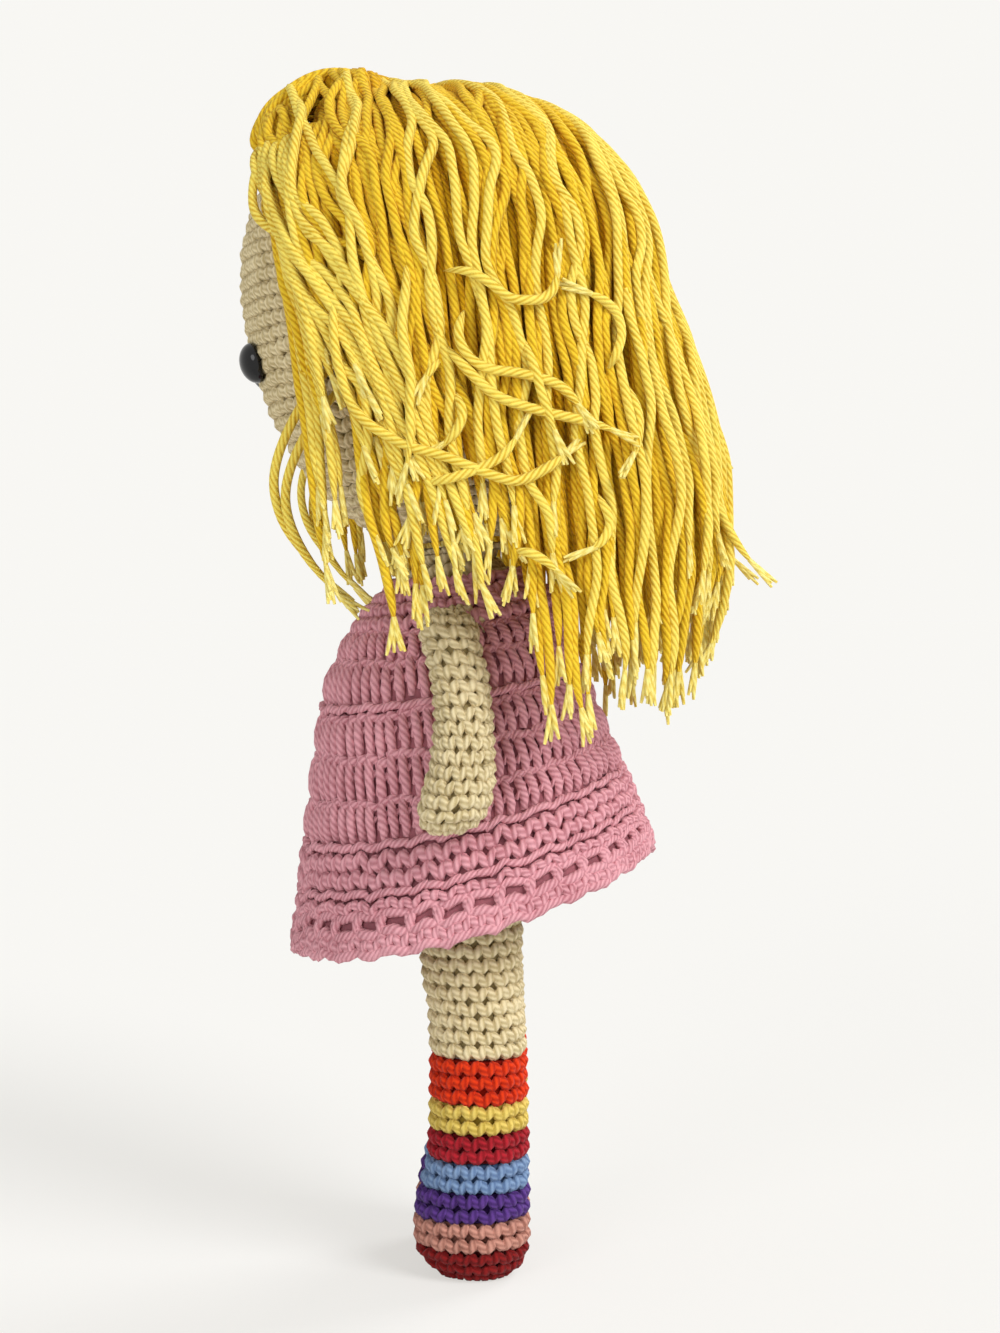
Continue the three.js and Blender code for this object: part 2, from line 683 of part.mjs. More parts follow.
function sideHair() {
  const edge = (azimuth) => {
    const front = lerp(CHEEK_DROP, FRONT_LOCK_DROP, smoothstep(azimuth, FRINGE_SPAN, FRONT_LOCK_AT));
    return -lerp(front, SIDE_DROP, smoothstep(azimuth, FRONT_LOCK_AT + 2, FRONT_LOCK_AT + 12));
  };
  return lock(FRINGE_SPAN, SIDE_SPAN, 10, edge, (azimuth, z) => sideDepth(z));
}

function backHair() {
  const edge = (azimuth) => lerp(-BACK_DROP, -NAPE_DROP, smoothstep(azimuth, 125, 175));
  return lock(SIDE_SPAN, 180, 16, edge, backDepth);
}

// Assembly
const upper = new THREE.Group();
upper.name = "torso_frame";
upper.position.z = HIP_HEIGHT;
upper.rotation.x = degToRad(LEAN);
upper.add(piece("body_cover", torsoCover(), COLOURS.skin));
upper.add(piece("body_filling", torsoFilling(), COLOURS.filling));
upper.add(piece("dress", dressCover(), COLOURS.dress));
upper.add(piece("hem_edging", hemEdging(), COLOURS.dress));

const neckSeam = seamRing(NECK_RADIUS + SEAM_GAP + YARN / 2, NECK_SEAM - SEAM_GAP - YARN / 2);
upper.add(piece("neck_seam", neckSeam.translate(0, HEAD_SETBACK, 0), COLOURS.skin));

const sides = [
  [1, "left"],
  [-1, "right"],
];
const head = new THREE.Group();
head.name = "head_frame";
head.position.set(0, HEAD_SETBACK, NECK_SEAM + SEAM_GAP);
head.add(piece("head_cover", headCover(), COLOURS.skin));
head.add(piece("head_filling", headFilling(), COLOURS.filling));
for (const [side, sideName] of sides) {
  const ring = seamRing(ARM_ROOT_RADIUS + JOINT_GAP + YARN / 2, 0).rotateY(Math.PI / 2);
  const seat = side * (TORSO_RADIUS + SEAM_GAP + YARN / 2);
  ring.translate(seat, SHOULDER_SETBACK, SHOULDER_HEIGHT);
  upper.add(piece(`shoulder_seam_${sideName}`, ring, COLOURS.skin));
  upper.add(arm(side, sideName));
  const face = eyeFrame(side);
  face.add(piece(`eye_${sideName}`, eye(), COLOURS.eye, 0.12));
  face.add(piece(`eye_washer_${sideName}`, washer(), COLOURS.washer, 0.5));
  head.add(face);
  head.add(piece(`fringe_${sideName}`, mirrored(fringe(), side), COLOURS.hair));
  head.add(piece(`side_hair_${sideName}`, mirrored(sideHair(), side), COLOURS.hair));
  head.add(piece(`back_hair_${sideName}`, mirrored(backHair(), side), COLOURS.hair));
}
upper.add(head);

const doll = new THREE.Group();
doll.add(upper);
for (const [side, sideName] of sides) doll.add(leg(side, sideName));

// The origin is under the middle of the doll's box.
doll.updateMatrixWorld(true);
const middle = new THREE.Box3().setFromObject(doll, true).getCenter(new THREE.Vector3());
const part = new THREE.Group();
doll.position.set(-middle.x, -middle.y, 0);
part.add(doll);

export default part;
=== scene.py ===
# %% [markdown]
# # A crocheted doll
# The doll is a stuffed toy: covers of single crochet on the head, body and limbs, a dress of tall stitches,
# and hair of cut yarn. Its solids come from the frame. A bump map could stand for the stitches, but the
# outline would stay smooth, so here every stitch and strand is a length of yarn that is laid on the solids.
# Every length is in metres.

import json
import math

import bmesh
import bpy
import numpy as np
from mathutils import Matrix, Vector
from mathutils.bvhtree import BVHTree


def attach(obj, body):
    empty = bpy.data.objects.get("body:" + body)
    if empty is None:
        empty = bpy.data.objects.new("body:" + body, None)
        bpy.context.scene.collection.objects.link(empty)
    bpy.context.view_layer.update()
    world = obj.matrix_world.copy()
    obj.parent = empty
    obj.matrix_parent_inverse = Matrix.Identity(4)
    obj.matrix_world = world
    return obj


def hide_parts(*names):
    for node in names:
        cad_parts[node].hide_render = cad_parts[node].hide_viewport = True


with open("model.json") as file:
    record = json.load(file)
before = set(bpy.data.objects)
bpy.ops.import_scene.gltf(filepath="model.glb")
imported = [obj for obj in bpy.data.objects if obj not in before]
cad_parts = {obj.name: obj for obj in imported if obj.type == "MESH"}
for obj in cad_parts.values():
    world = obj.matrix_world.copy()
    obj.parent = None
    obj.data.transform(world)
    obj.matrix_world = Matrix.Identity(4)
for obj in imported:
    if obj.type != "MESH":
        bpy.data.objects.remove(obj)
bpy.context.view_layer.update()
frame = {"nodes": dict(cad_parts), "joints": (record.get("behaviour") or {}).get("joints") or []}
chance = np.random.default_rng(7)
scene = bpy.context.scene
print("nodes in the frame:", len(frame["nodes"]))

# %% [markdown]
# ## Sizes
# The gauge of the crochet sets the sizes: a stitch is a little wider than it is high. The head, body and
# dress share one leaning axis. It could be written down here, but it is read from the joint of the head,
# so the yarn follows when the solids are changed.

# %% Sizes
MM = 0.001
STITCH = 4.4 * MM
ROUND = 3.76 * MM
FULL_TURN = 2 * math.pi
UPRIGHT = Vector((0, 0, 1))
SIDES = {"left": 1, "right": -1}
head_joint = next(joint for joint in frame["joints"] if joint["name"] == "head_turn")
LEAN = Vector(head_joint["axis"])
NECK = Vector(head_joint["pos_m"])
hip_joints = [joint for joint in frame["joints"] if joint["child"].startswith("leg")]
HIPS = sum((Vector(joint["pos_m"]) for joint in hip_joints), Vector()) / len(hip_joints)
print("the doll leans forward by", round(math.degrees(LEAN.angle(UPRIGHT)), 1), "degrees")

# %% [markdown]
# ## Camera
# The camera stands on the doll's left, close enough for near things to look larger, and looks a little
# down. The focal length could be tried by eye. It is worked out from the picture's height in pixels
# instead, because the sensor size belongs to the longer side.

# %% Camera
PICTURE_HEIGHT = 1333
FOCAL_PIXELS = 2375.5
EYE_POINT = Vector((620, 2.4, 185)) * MM
AIM_POINT = Vector((0, 2.4, 155.8)) * MM
lens = bpy.data.cameras.new("camera")
lens.sensor_width = 36
lens.lens = FOCAL_PIXELS * lens.sensor_width / PICTURE_HEIGHT
camera = bpy.data.objects.new("camera", lens)
camera.location = EYE_POINT
camera.rotation_euler = (AIM_POINT - EYE_POINT).to_track_quat("-Z", "Y").to_euler()
scene.collection.objects.link(camera)
scene.camera = camera
print("lens", round(lens.lens, 2), "mm")

# %% [markdown]
# ## Rays at a solid
# To lay yarn on a solid, its outside has to be known at any height and angle. The triangles of a solid are
# uneven and can't be followed row by row. Rays shot from all round find a point wherever one is wanted,
# and a search tree of the faces makes that fast.


# %% Rays at a solid
SPOKES = 72
RINGS = 56
LEVELS = 3 * RINGS
SPOKE_ANGLES = (np.arange(SPOKES) + 0.5) * FULL_TURN / SPOKES
FAR = 0.2
NEAR_POINTS = 48
CORE_DEGREE = 3


def tree_of(nodes, turn):
    """A search tree of some nodes, turned so that their axis stands upright, and their points."""
    bm = bmesh.new()
    for node in nodes:
        bm.from_mesh(frame["nodes"][node].data)
    bm.transform(turn.to_4x4())
    tree = BVHTree.FromBMesh(bm)
    points = np.array([v.co for v in bm.verts])
    bm.free()
    return tree, points


def towards(angle):
    """The level direction at an angle from the face."""
    return Vector((math.sin(angle), -math.cos(angle), 0))


def levels(points, trim):
    """Heights from the top of some points to the bottom, closer together near both ends."""
    low, high = points[:, 2].min(), points[:, 2].max()
    return (high + low) / 2 + (high - low) / 2 * trim * np.cos(np.linspace(0, math.pi, LEVELS))


def core_line(points, heights):
    """A smooth line up the middle of some points, at the heights asked for."""
    middles = []
    for height in heights:
        near = points[np.argsort(np.abs(points[:, 2] - height))[:NEAR_POINTS]]
        middles.append((near.min(axis=0) + near.max(axis=0)) / 2)
    fit = np.polyfit(heights, np.array(middles)[:, :2], CORE_DEGREE)
    return np.stack([np.polyval(fit[:, axis], heights) for axis in range(2)], axis=1)


print("rays for each solid:", SPOKES * LEVELS)

# %% [markdown]
# ## Paths
# A path is a row of points. Some are lengths of yarn, and some run down a solid from top to bottom. Rows of
# stitches need even steps along a path, so its length is measured and its points are shared out again.


# %% Paths
TINY = 1e-12


def run_of(path):
    """The distance along a path from its start to each of its points."""
    steps = np.linalg.norm(np.diff(path, axis=0), axis=1)
    return np.concatenate([[0], np.cumsum(steps)])


def unit(vectors):
    """The same directions with a length of one."""
    return vectors / (np.linalg.norm(vectors, axis=-1, keepdims=True) + TINY)


def fill(values):
    """Misses between two hits of a spoke take the values between them."""
    known = np.flatnonzero(~np.isnan(values[:, 0]))
    span = np.arange(known[0], known[-1] + 1)
    return np.stack([np.interp(span, known, values[known, axis]) for axis in range(3)], axis=1)


def even(points):
    """The same path with its points evenly spaced, and its length."""
    run = run_of(points)
    share = np.linspace(0, run[-1], RINGS)
    return np.stack([np.interp(share, run, points[:, axis]) for axis in range(3)], axis=1), run[-1]


print("points on an even path:", RINGS)

# %% [markdown]
# ## Forms
# A form is the outside of a solid as rings and spokes, with the way out at each point. The rings could lie
# level, but the hem of the dress slants. Each spoke is spaced evenly along its own length, so the rows of
# stitches slant with it.


# %% Forms
CLOSED_WIDTH = 9 * MM
BULGE = 1.35
TRIM = 0.985


def outside(nodes, axis=UPRIGHT, middle=None):
    """The form of some nodes: its grid, normals, length, girth at each ring, and which ends are closed."""
    turn = axis.rotation_difference(UPRIGHT).to_matrix()
    tree, points = tree_of(nodes, turn)
    heights = levels(points, TRIM)
    core = core_line(points, heights) if middle is None else np.tile(turn @ middle, (len(heights), 1))
    hits = np.full((len(heights), SPOKES, 3), np.nan)
    for ring, height in enumerate(heights):
        centre = Vector((core[ring, 0], core[ring, 1], height))
        reach = []
        for angle in SPOKE_ANGLES:
            way = towards(angle)
            found = tree.ray_cast(centre + way * FAR, -way, FAR)
            reach.append((found[0] - centre).dot(way) if found[0] else math.nan)
        reach = np.array(reach)
        limit = np.nanmedian(reach) * BULGE if np.isfinite(reach).any() else 0
        reach = np.minimum(reach, limit)
        hits[ring, :, 0] = centre.x + np.sin(SPOKE_ANGLES) * reach
        hits[ring, :, 1] = centre.y - np.cos(SPOKE_ANGLES) * reach
        hits[ring, :, 2] = height
    spokes = [even(fill(hits[:, spoke])) for spoke in range(SPOKES)]
    grid = np.stack([points for points, length in spokes], axis=1) @ np.array(turn)
    down = np.gradient(grid, axis=0)
    normal = unit(np.cross(down, np.roll(grid, -1, axis=1) - np.roll(grid, 1, axis=1)))
    closed = [np.ptp(grid[end], axis=0).max() < CLOSED_WIDTH for end in (0, -1)]
    for shut, end, inner in zip(closed, (0, -1), (3, -4)):
        if shut:
            normal[end] = unit(grid[end].mean(axis=0) - grid[inner].mean(axis=0))
    length = np.mean([length for points, length in spokes])
    girth = np.linalg.norm(np.roll(grid, -1, axis=1) - grid, axis=2).sum(axis=1)
    return {"grid": grid, "normal": normal, "length": length, "girth": girth, "closed": closed}


def between(table, ring, spoke):
    """Values of a grid table between its rings and spokes."""
    above = np.clip(np.floor(ring).astype(int), 0, RINGS - 2)
    before = np.floor(spoke).astype(int)
    down = (ring - above)[:, None]
    along = (spoke - before)[:, None]
    before = before % SPOKES
    after = (before + 1) % SPOKES
    upper = table[above, before] * (1 - along) + table[above, after] * along
    lower = table[above + 1, before] * (1 - along) + table[above + 1, after] * along
    return upper * (1 - down) + lower * down


def spoke_at(angle):
    """The number of the spoke at an angle, with its fraction."""
    return np.asarray(angle) / FULL_TURN * SPOKES - 0.5


def at(form, share, angle, out=0.0):
    """Points at a share of the way down a form and an angle round it, moved out along the normal."""
    ring = np.asarray(share) * (RINGS - 1)
    spoke = spoke_at(angle)
    away = between(form["normal"], ring, spoke) * np.reshape(out, (-1, 1))
    return between(form["grid"], ring, spoke) + away


print("points on a form:", RINGS * SPOKES)

# %% [markdown]
# ## Yarn
# Yarn is a soft round cord of twisted plies. Modelling each ply would take far too many faces. A curve with
# a round bevel is enough, turned to a mesh whose UV map runs in millimetres along the yarn. The material
# then draws the plies at one size on every strand.


# %% Yarn
YARN_SIDES = 6


def corners(mesh):
    """The points of a mesh as an array."""
    values = np.empty(len(mesh.vertices) * 3, np.float32)
    mesh.vertices.foreach_get("co", values)
    return values.reshape(-1, 3).astype(float)


def measure_along(mesh):
    """Sets the first UV value to the distance along the yarn, in millimetres."""
    rings = corners(mesh).reshape(-1, YARN_SIDES, 3).mean(axis=1)
    along = np.repeat(run_of(rings) / MM, YARN_SIDES)
    loops = np.empty(len(mesh.loops), np.int32)
    mesh.loops.foreach_get("vertex_index", loops)
    layer = mesh.uv_layers[0].data
    uv = np.empty(len(loops) * 2, np.float32)
    layer.foreach_get("uv", uv)
    uv[0::2] = along[loops]
    layer.foreach_set("uv", uv)


def as_mesh(name, data, modify=None):
    """The mesh that an object with this data shows, after a modifier if one is given."""
    thing = bpy.data.objects.new(name, data)
    scene.collection.objects.link(thing)
    if modify:
        modify(thing)
    seen = thing.evaluated_get(bpy.context.evaluated_depsgraph_get())
    mesh = bpy.data.meshes.new_from_object(seen)
    mesh.name = name
    bpy.data.objects.remove(thing)
    return mesh


def yarn_mesh(name, strands, thick, smooth=0):
    """A mesh of yarn along strands; each is a pair of points and a thickness for every point.

    Smooth strands are curves with closed ends. The others, for stitches, end inside the fabric.
    """
    curve = bpy.data.curves.new(name, "CURVE")
    curve.dimensions = "3D"
    curve.bevel_depth = thick / 2
    curve.bevel_resolution = (YARN_SIDES - 4) // 2
    curve.use_fill_caps = smooth > 0
    for points, radii in strands:
        spline = curve.splines.new("NURBS" if smooth else "POLY")
        spline.points.add(len(points) - 1)
        spline.points.foreach_set("co", np.column_stack([points, np.ones(len(points))]).ravel())
        spline.points.foreach_set("radius", np.asarray(radii, float))
        if smooth:
            spline.order_u = 4
            spline.use_endpoint_u = True
            spline.resolution_u = smooth
    mesh = as_mesh(name, curve)
    measure_along(mesh)
    return mesh


print("sides of the yarn:", YARN_SIDES)

# %% [markdown]
# ## Shader nodes
# A finish is a small tree of nodes. They could be placed in the shader editor by hand. These helpers make
# and join them from code, so that every yarn is built in the same way and differs only in its values.


# %% Shader nodes
def linear(code):
    """A colour written as six hex digits, as the linear values that shaders use."""
    parts = [int(code[i : i + 2], 16) / 255 for i in (0, 2, 4)]
    return [c / 12.92 if c <= 0.04045 else ((c + 0.055) / 1.055) ** 2.4 for c in parts] + [1]


def link(tree, start, end):
    """Joins an output socket to an input socket."""
    tree.links.new(start, end)


def node_of(tree, kind, **settings):
    """A new shader node with some of its settings."""
    node = tree.nodes.new(kind)
    for name, value in settings.items():
        setattr(node, name, value)
    return node


def math_node(tree, operation, *values):
    """A maths node fed by sockets or plain numbers; returns its output."""
    node = node_of(tree, "ShaderNodeMath", operation=operation)
    for socket, value in zip(node.inputs, values):
        if isinstance(value, (int, float)):
            socket.default_value = value
        else:
            link(tree, value, socket)
    return node.outputs[0]


def noise(tree, scale, detail=2):
    """A noise pattern in the object's own space; returns its value."""
    coords = node_of(tree, "ShaderNodeTexCoord")
    texture = node_of(tree, "ShaderNodeTexNoise")
    texture.inputs["Scale"].default_value = scale
    texture.inputs["Detail"].default_value = detail
    link(tree, coords.outputs["Object"], texture.inputs["Vector"])
    return texture.outputs["Fac"]


def colour_ramp(tree, value, dark, light, ends=(0, 1)):
    """A colour that goes from dark to light while a value goes from one end to the other."""
    ramp = node_of(tree, "ShaderNodeValToRGB")
    for element, end, colour in zip(ramp.color_ramp.elements, ends, (dark, light)):
        element.position = end
        element.color = colour
    link(tree, value, ramp.inputs["Fac"])
    return ramp.outputs["Color"]


def material_of(name, settings):
    """A new material, its node tree and its shader, with some of the shader's inputs set."""
    material = bpy.data.materials.new(name)
    material.use_nodes = True
    tree = material.node_tree
    shader = tree.nodes["Principled BSDF"]
    for socket, value in settings.items():
        shader.inputs[socket].default_value = value
    return material, tree, shader


print("the middle grey of a screen in linear light:", round(linear("808080")[0], 3))

# %% [markdown]
# ## Finishes
# Yarn is matt and a little fuzzy. Its colour has painted shade between the plies and varies from place to
# place.
# Real fuzz could be thousands of hairs, but at this size a fine bump of fibres and a faint sheen look the
# same. The plastic of the eyes is smooth, with a faint cloudiness in its gloss.


# %% Finishes
FIBRE_SCALE = 2600
FIBRE_DETAIL = 3
FIBRE_SHARE = 0.25
PATCH_SCALE = 120
PATCH_SHARE = 0.55
TONE_ENDS = (0.25, 0.8)
PLY_HEIGHT = 1.4
BUMP_STRENGTH = 0.7
BUMP_DEPTH = 0.35 * MM
YARN_GLOSS = {"Roughness": 0.9, "Specular IOR Level": 0.08, "Sheen Roughness": 0.6}
CLOUD_SCALE = 400
CLOUD_ROUGHNESS = (0.7, 1.4)
CLOUD_LIGHTER = 1.5


def yarn_material(name, light, dark, plies=4, pitch=1.6, relief_and_shade=0.4, sheen=0.06):
    """Matt plied yarn; pitch is the distance from ply to ply in millimetres, relief how much the plies show,
    in bump and in painted shade.
    """
    material, tree, shader = material_of(name, YARN_GLOSS | {"Sheen Weight": sheen})
    coords = node_of(tree, "ShaderNodeTexCoord")
    split = node_of(tree, "ShaderNodeSeparateXYZ")
    link(tree, coords.outputs["UV"], split.inputs[0])
    around = math_node(tree, "MULTIPLY", split.outputs[1], plies * FULL_TURN)
    along = math_node(tree, "MULTIPLY", split.outputs[0], FULL_TURN / pitch)
    wave = math_node(tree, "SINE", math_node(tree, "ADD", around, along))
    ridge = math_node(tree, "MULTIPLY_ADD", wave, 0.5, 0.5)
    fibre = noise(tree, FIBRE_SCALE, FIBRE_DETAIL)
    # Painted shade: the colour darkens in the grooves between the plies, as far as the relief value sets.
    tone = math_node(tree, "MULTIPLY", ridge, relief_and_shade)
    tone = math_node(tree, "MULTIPLY_ADD", noise(tree, PATCH_SCALE), PATCH_SHARE, tone)
    tone = math_node(tree, "MULTIPLY_ADD", fibre, FIBRE_SHARE, tone)
    colour = colour_ramp(tree, tone, linear(dark), linear(light), TONE_ENDS)
    link(tree, colour, shader.inputs["Base Color"])
    bump = node_of(tree, "ShaderNodeBump")
    bump.inputs["Strength"].default_value = BUMP_STRENGTH
    bump.inputs["Distance"].default_value = BUMP_DEPTH
    height = math_node(tree, "MULTIPLY_ADD", ridge, PLY_HEIGHT * relief_and_shade, fibre)
    link(tree, height, bump.inputs["Height"])
    link(tree, bump.outputs["Normal"], shader.inputs["Normal"])
    return material


def gloss_material(name, code, roughness):
    """Smooth plastic with faint cloudiness in its gloss."""
    material, tree, shader = material_of(name, {"Specular IOR Level": 0.35})
    cloud = noise(tree, CLOUD_SCALE)
    spread = node_of(tree, "ShaderNodeMapRange")
    spread.inputs["To Min"].default_value = roughness * CLOUD_ROUGHNESS[0]
    spread.inputs["To Max"].default_value = roughness * CLOUD_ROUGHNESS[1]
    link(tree, cloud, spread.inputs["Value"])
    link(tree, spread.outputs["Result"], shader.inputs["Roughness"])
    colour = linear(code)
    lighter = [part * CLOUD_LIGHTER for part in colour[:3]] + [1]
    link(tree, colour_ramp(tree, cloud, colour, lighter), shader.inputs["Base Color"])
    return material


eye_plastic = gloss_material("eye_plastic", "0a0a0c", 0.1)
washer_plastic = gloss_material("washer_plastic", "d8d6d0", 0.45)
print("plastics:", eye_plastic.name, "and", washer_plastic.name)

# %% [markdown]
# ## Colours
# Each colour of yarn has a light tone and a dark one, which is painted shade between the plies and the low
# end of its random patches. The fabric behind the stitches is the same yarn in deep shade. Shadows alone
# would leave it too pale under soft light, so it has painted shade: darker tones of its own. The hair has
# three tones of one gold: painted shade for yarn in the depth of the hair, painted light for yarn on top and
# gold between, and a paler one for its frayed ends.


# %% Colours
def darker(code):
    """Six tenths of a colour that is written as six hex digits, for the painted shade of the linings."""
    return "".join(f"{int(code[i : i + 2], 16) * 6 // 10:02x}" for i in (0, 2, 4))


# Each yarn has a light tone and a dark one; the dark one is painted shade between the plies and the low end
# of random patches.
PALETTE = {
    "skin": ("e6d6ac", "b09c6c"),
    "dress": ("e4a6ae", "b06c75"),
    "orange_red": ("e03c12", "a01804"),
    "yellow": ("e2c868", "ae9236"),
    "crimson": ("b0222e", "720a12"),
    "light_blue": ("809abc", "4f6890"),
    "violet": ("5c3a86", "331852"),
    "salmon": ("ca9180", "915e50"),
    "sole": ("861a1a", "520808"),
}
SLOTS = {name: f"{name}_yarn" for name in PALETTE}
HAIR_PLIES = {"plies": 5, "pitch": 2.2, "relief_and_shade": 0.6}
yarns = {name: yarn_material(SLOTS[name], *tones) for name, tones in PALETTE.items()}
# Linings: painted shade, the dark tone of each yarn with a darker one between its plies.
shade_linings = {
    name: yarn_material(f"{name}_lining", dark, darker(dark), sheen=0.05)
    for name, (light, dark) in PALETTE.items()
}
# Three tones of one gold yarn: painted light on top, painted shade in the depth of the hair, gold between;
# the frayed ends are paler.
hair_yarns = {
    "pale": yarn_material("hair_pale", "f8e268", "d2a012", **HAIR_PLIES),
    "gold": yarn_material("hair_gold", "f0cb34", "c28a06", **HAIR_PLIES),
    "deep": yarn_material("hair_deep", "e4b41a", "b07c06", **HAIR_PLIES),
    "ends": yarn_material("hair_ends", "f8ea90", "dcbc3e", plies=2, pitch=3.0),
}
filling_fibre = yarn_material("filling_fibre", "f6f3ea", "dcd8cc")
print("materials:", len(bpy.data.materials))

# %% [markdown]
# ## Stitches
# A single crochet shows as a V of two strands. Modelling each of some thousands by hand is out of the
# question. One stitch is made, an Array modifier repeats it in a line, and the line is wound on to the form
# row by row, as a crocheter works. Small random shifts keep it from looking machine made.


# %% Stitches
LINE_STEP = 20 * MM
SLIP = 0.4
RISE = 0.8 * MM
POLE_MARGIN = 0.01


def template(name, strands, thick):
    """A stitch as a mesh; strands hold points in millimetres: across, up, out and a thickness factor."""
    lengths = []
    for strand in strands:
        points = np.array(strand, float)
        lengths.append((points[:, :3] * MM, points[:, 3]))
    return yarn_mesh(name, lengths, thick)


def in_line(mesh, count):
    """The stitch repeated along X by an Array modifier."""

    def repeat(thing):
        array = thing.modifiers.new("row", "ARRAY")
        array.count = count
        array.use_relative_offset = False
        array.use_constant_offset = True
        array.constant_offset_displace = (LINE_STEP, 0, 0)

    return as_mesh("line", mesh, repeat)


def crochet(stitch, form, rows, width=STITCH, height=ROUND, slant=0.4, loose=0.12):
    """Winds stitches on to a form; rows are (middle, height, count), as shares of its length."""
    middles, heights, counts = (np.array(column) for column in zip(*rows))
    starts = np.concatenate([[0], np.cumsum(counts)])
    total = int(starts[-1])
    mesh = in_line(stitch, total)
    points = corners(mesh)
    number = np.rint(points[:, 0] / LINE_STEP).astype(int)
    across = points[:, 0] - number * LINE_STEP
    row = np.searchsorted(starts, number, side="right") - 1
    column = number - starts[row] + slant * row
    wander = chance.normal(0, loose, (total, 3))[number]
    angle = (column + across / width + SLIP * wander[:, 0]) / counts[row] * FULL_TURN
    up = points[:, 1] / height + SLIP * wander[:, 1]
    top = POLE_MARGIN if form["closed"][0] else -1
    bottom = 1 - POLE_MARGIN if form["closed"][1] else 2
    share = np.clip(middles[row] - up * heights[row], top, bottom)
    placed = at(form, share, angle, points[:, 2] + RISE * wander[:, 2])
    mesh.vertices.foreach_set("co", placed.astype(np.float32).ravel())
    mesh.update()
    return mesh


SINGLE = template(
    "single",
    [[(side * 2.1, 1.25, -1.8, 0.8), (side * 1.75, 0.9, -0.8, 1.0), (side * 1.1, 0.0, -0.55, 1.1),
      (side * 0.5, -0.95, -0.9, 1.0), (side * 0.25, -1.75, -2.0, 0.75)] for side in (-1, 1)],
    2.55 * MM,
)
print("a stitch has", len(SINGLE.polygons), "faces")

# %% [markdown]
# ## Covers
# A cover is a bag of stitches with filling behind it. Between real stitches the inside of the fabric shows
# dark, because it lies in shade. One could make the stitches thicker until no gap is left. A plain lining
# just under them, coloured in painted shade, closes the gaps with fewer faces, and the stitches keep their
# relief.


# %% Covers
WELD = 0.02 * MM
COVER_DEPTH = 1.7 * MM
COVER_FACES = (30, 24)
FEWEST_STITCHES = 6
EXTRA_STITCHES = 3


def lining(form, depth, bottom=1.0, stuffed=True, faces=(SPOKES, RINGS)):
    """A plain surface under the stitches, from a grid that is rolled up on the form."""
    bm = bmesh.new()
    bmesh.ops.create_grid(bm, x_segments=faces[0], y_segments=faces[1], size=0.5)
    flat = np.array([v.co for v in bm.verts])
    share = (0.5 - flat[:, 1]) * bottom
    placed = at(form, share, (flat[:, 0] + 0.5) * FULL_TURN, np.full(len(flat), -depth))
    for vert, place in zip(bm.verts, placed):
        vert.co = place
    bmesh.ops.remove_doubles(bm, verts=bm.verts, dist=WELD)
    if stuffed:
        bmesh.ops.holes_fill(bm, edges=[edge for edge in bm.edges if edge.is_boundary])
    bmesh.ops.recalc_face_normals(bm, faces=bm.faces)
    mesh = bpy.data.meshes.new("lining")
    bm.to_mesh(mesh)
    bm.free()
    return mesh


def piece(name, meshes, materials, body, nodes):
    """Joins meshes into one named piece, each with its own material, and ties it to the frame."""
    bm = bmesh.new()
    for place, mesh in enumerate(meshes):
        done = len(bm.faces)
        bm.from_mesh(mesh)
        bm.faces.ensure_lookup_table()
        for face in bm.faces[done:]:
            face.material_index = place
            face.smooth = True
    whole = bpy.data.meshes.new(name)
    bm.to_mesh(whole)
    bm.free()
    for material in materials:
        whole.materials.append(material)
    thing = bpy.data.objects.new(name, whole)
    scene.collection.objects.link(thing)
    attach(thing, body)
    if nodes:
        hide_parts(*nodes)
    return thing


def even_rows(form, count=None):
    """Rows of one height from top to bottom of a form, as (middle, height, stitches).

    With a count, a row has that many stitches, or fewer where the form is too narrow for them.
    """
    number = max(1, round(form["length"] / ROUND))
    rows = []
    for row in range(number):
        middle = (row + 0.5) / number
        girth = form["girth"][round(middle * (RINGS - 1))]
        fitting = max(FEWEST_STITCHES, round(girth / STITCH))
        rows.append((middle, 1 / number, min(count, fitting + EXTRA_STITCHES) if count else fitting))
    return rows


def crocheted(name, nodes, body, colour, axis=UPRIGHT, middle=None, count=None):
    """A stuffed cover in single crochet, in the place of its solid."""
    form = outside(nodes, axis, middle)
    # The lining under the stitches is coloured in painted shade.
    meshes = [crochet(SINGLE, form, even_rows(form, count)), lining(form, COVER_DEPTH, faces=COVER_FACES)]
    return piece(name, meshes, [yarns[colour], shade_linings[colour]], body, nodes)


print("faces of a lining:", COVER_FACES[0] * COVER_FACES[1])

# %% [markdown]
# ## Legs and arms
# The legs are tubes with a sock of six stripes and a sole, and the arms are plain tubes. Painting stripes on
# one cover would give straight borders. Each stripe is its own piece, so the points of its stitches reach
# down into the next colour. A tube has the same number of stitches all the way, and a hand and a sole
# have fewer towards their middle.

# %% Legs and arms
LEG_STITCHES = 18
ARM_STITCHES = 12
STRIPES = ["orange_red", "yellow", "crimson", "light_blue", "violet", "salmon", "sole"]
for side in SIDES:
    leg = f"leg_{side}"
    crocheted(f"leg_yarn_{side}", [f"leg_cover_{side}"], leg, "skin", count=LEG_STITCHES)
    for stripe in STRIPES:
        count = None if stripe == "sole" else LEG_STITCHES
        crocheted(f"sock_{stripe}_yarn_{side}", [f"sock_{stripe}_{side}"], leg, stripe, count=count)
    crocheted(f"arm_yarn_{side}", [f"arm_cover_{side}"], f"arm_{side}", "skin", count=ARM_STITCHES)

# %% [markdown]
# ## Head and body
# The head and the body are round bags whose rounds follow the leaning axis. Level rounds would be simpler,
# but they would cut across the neck at a slant. The seams that hold the head and the arms are short rows of
# the same yarn.

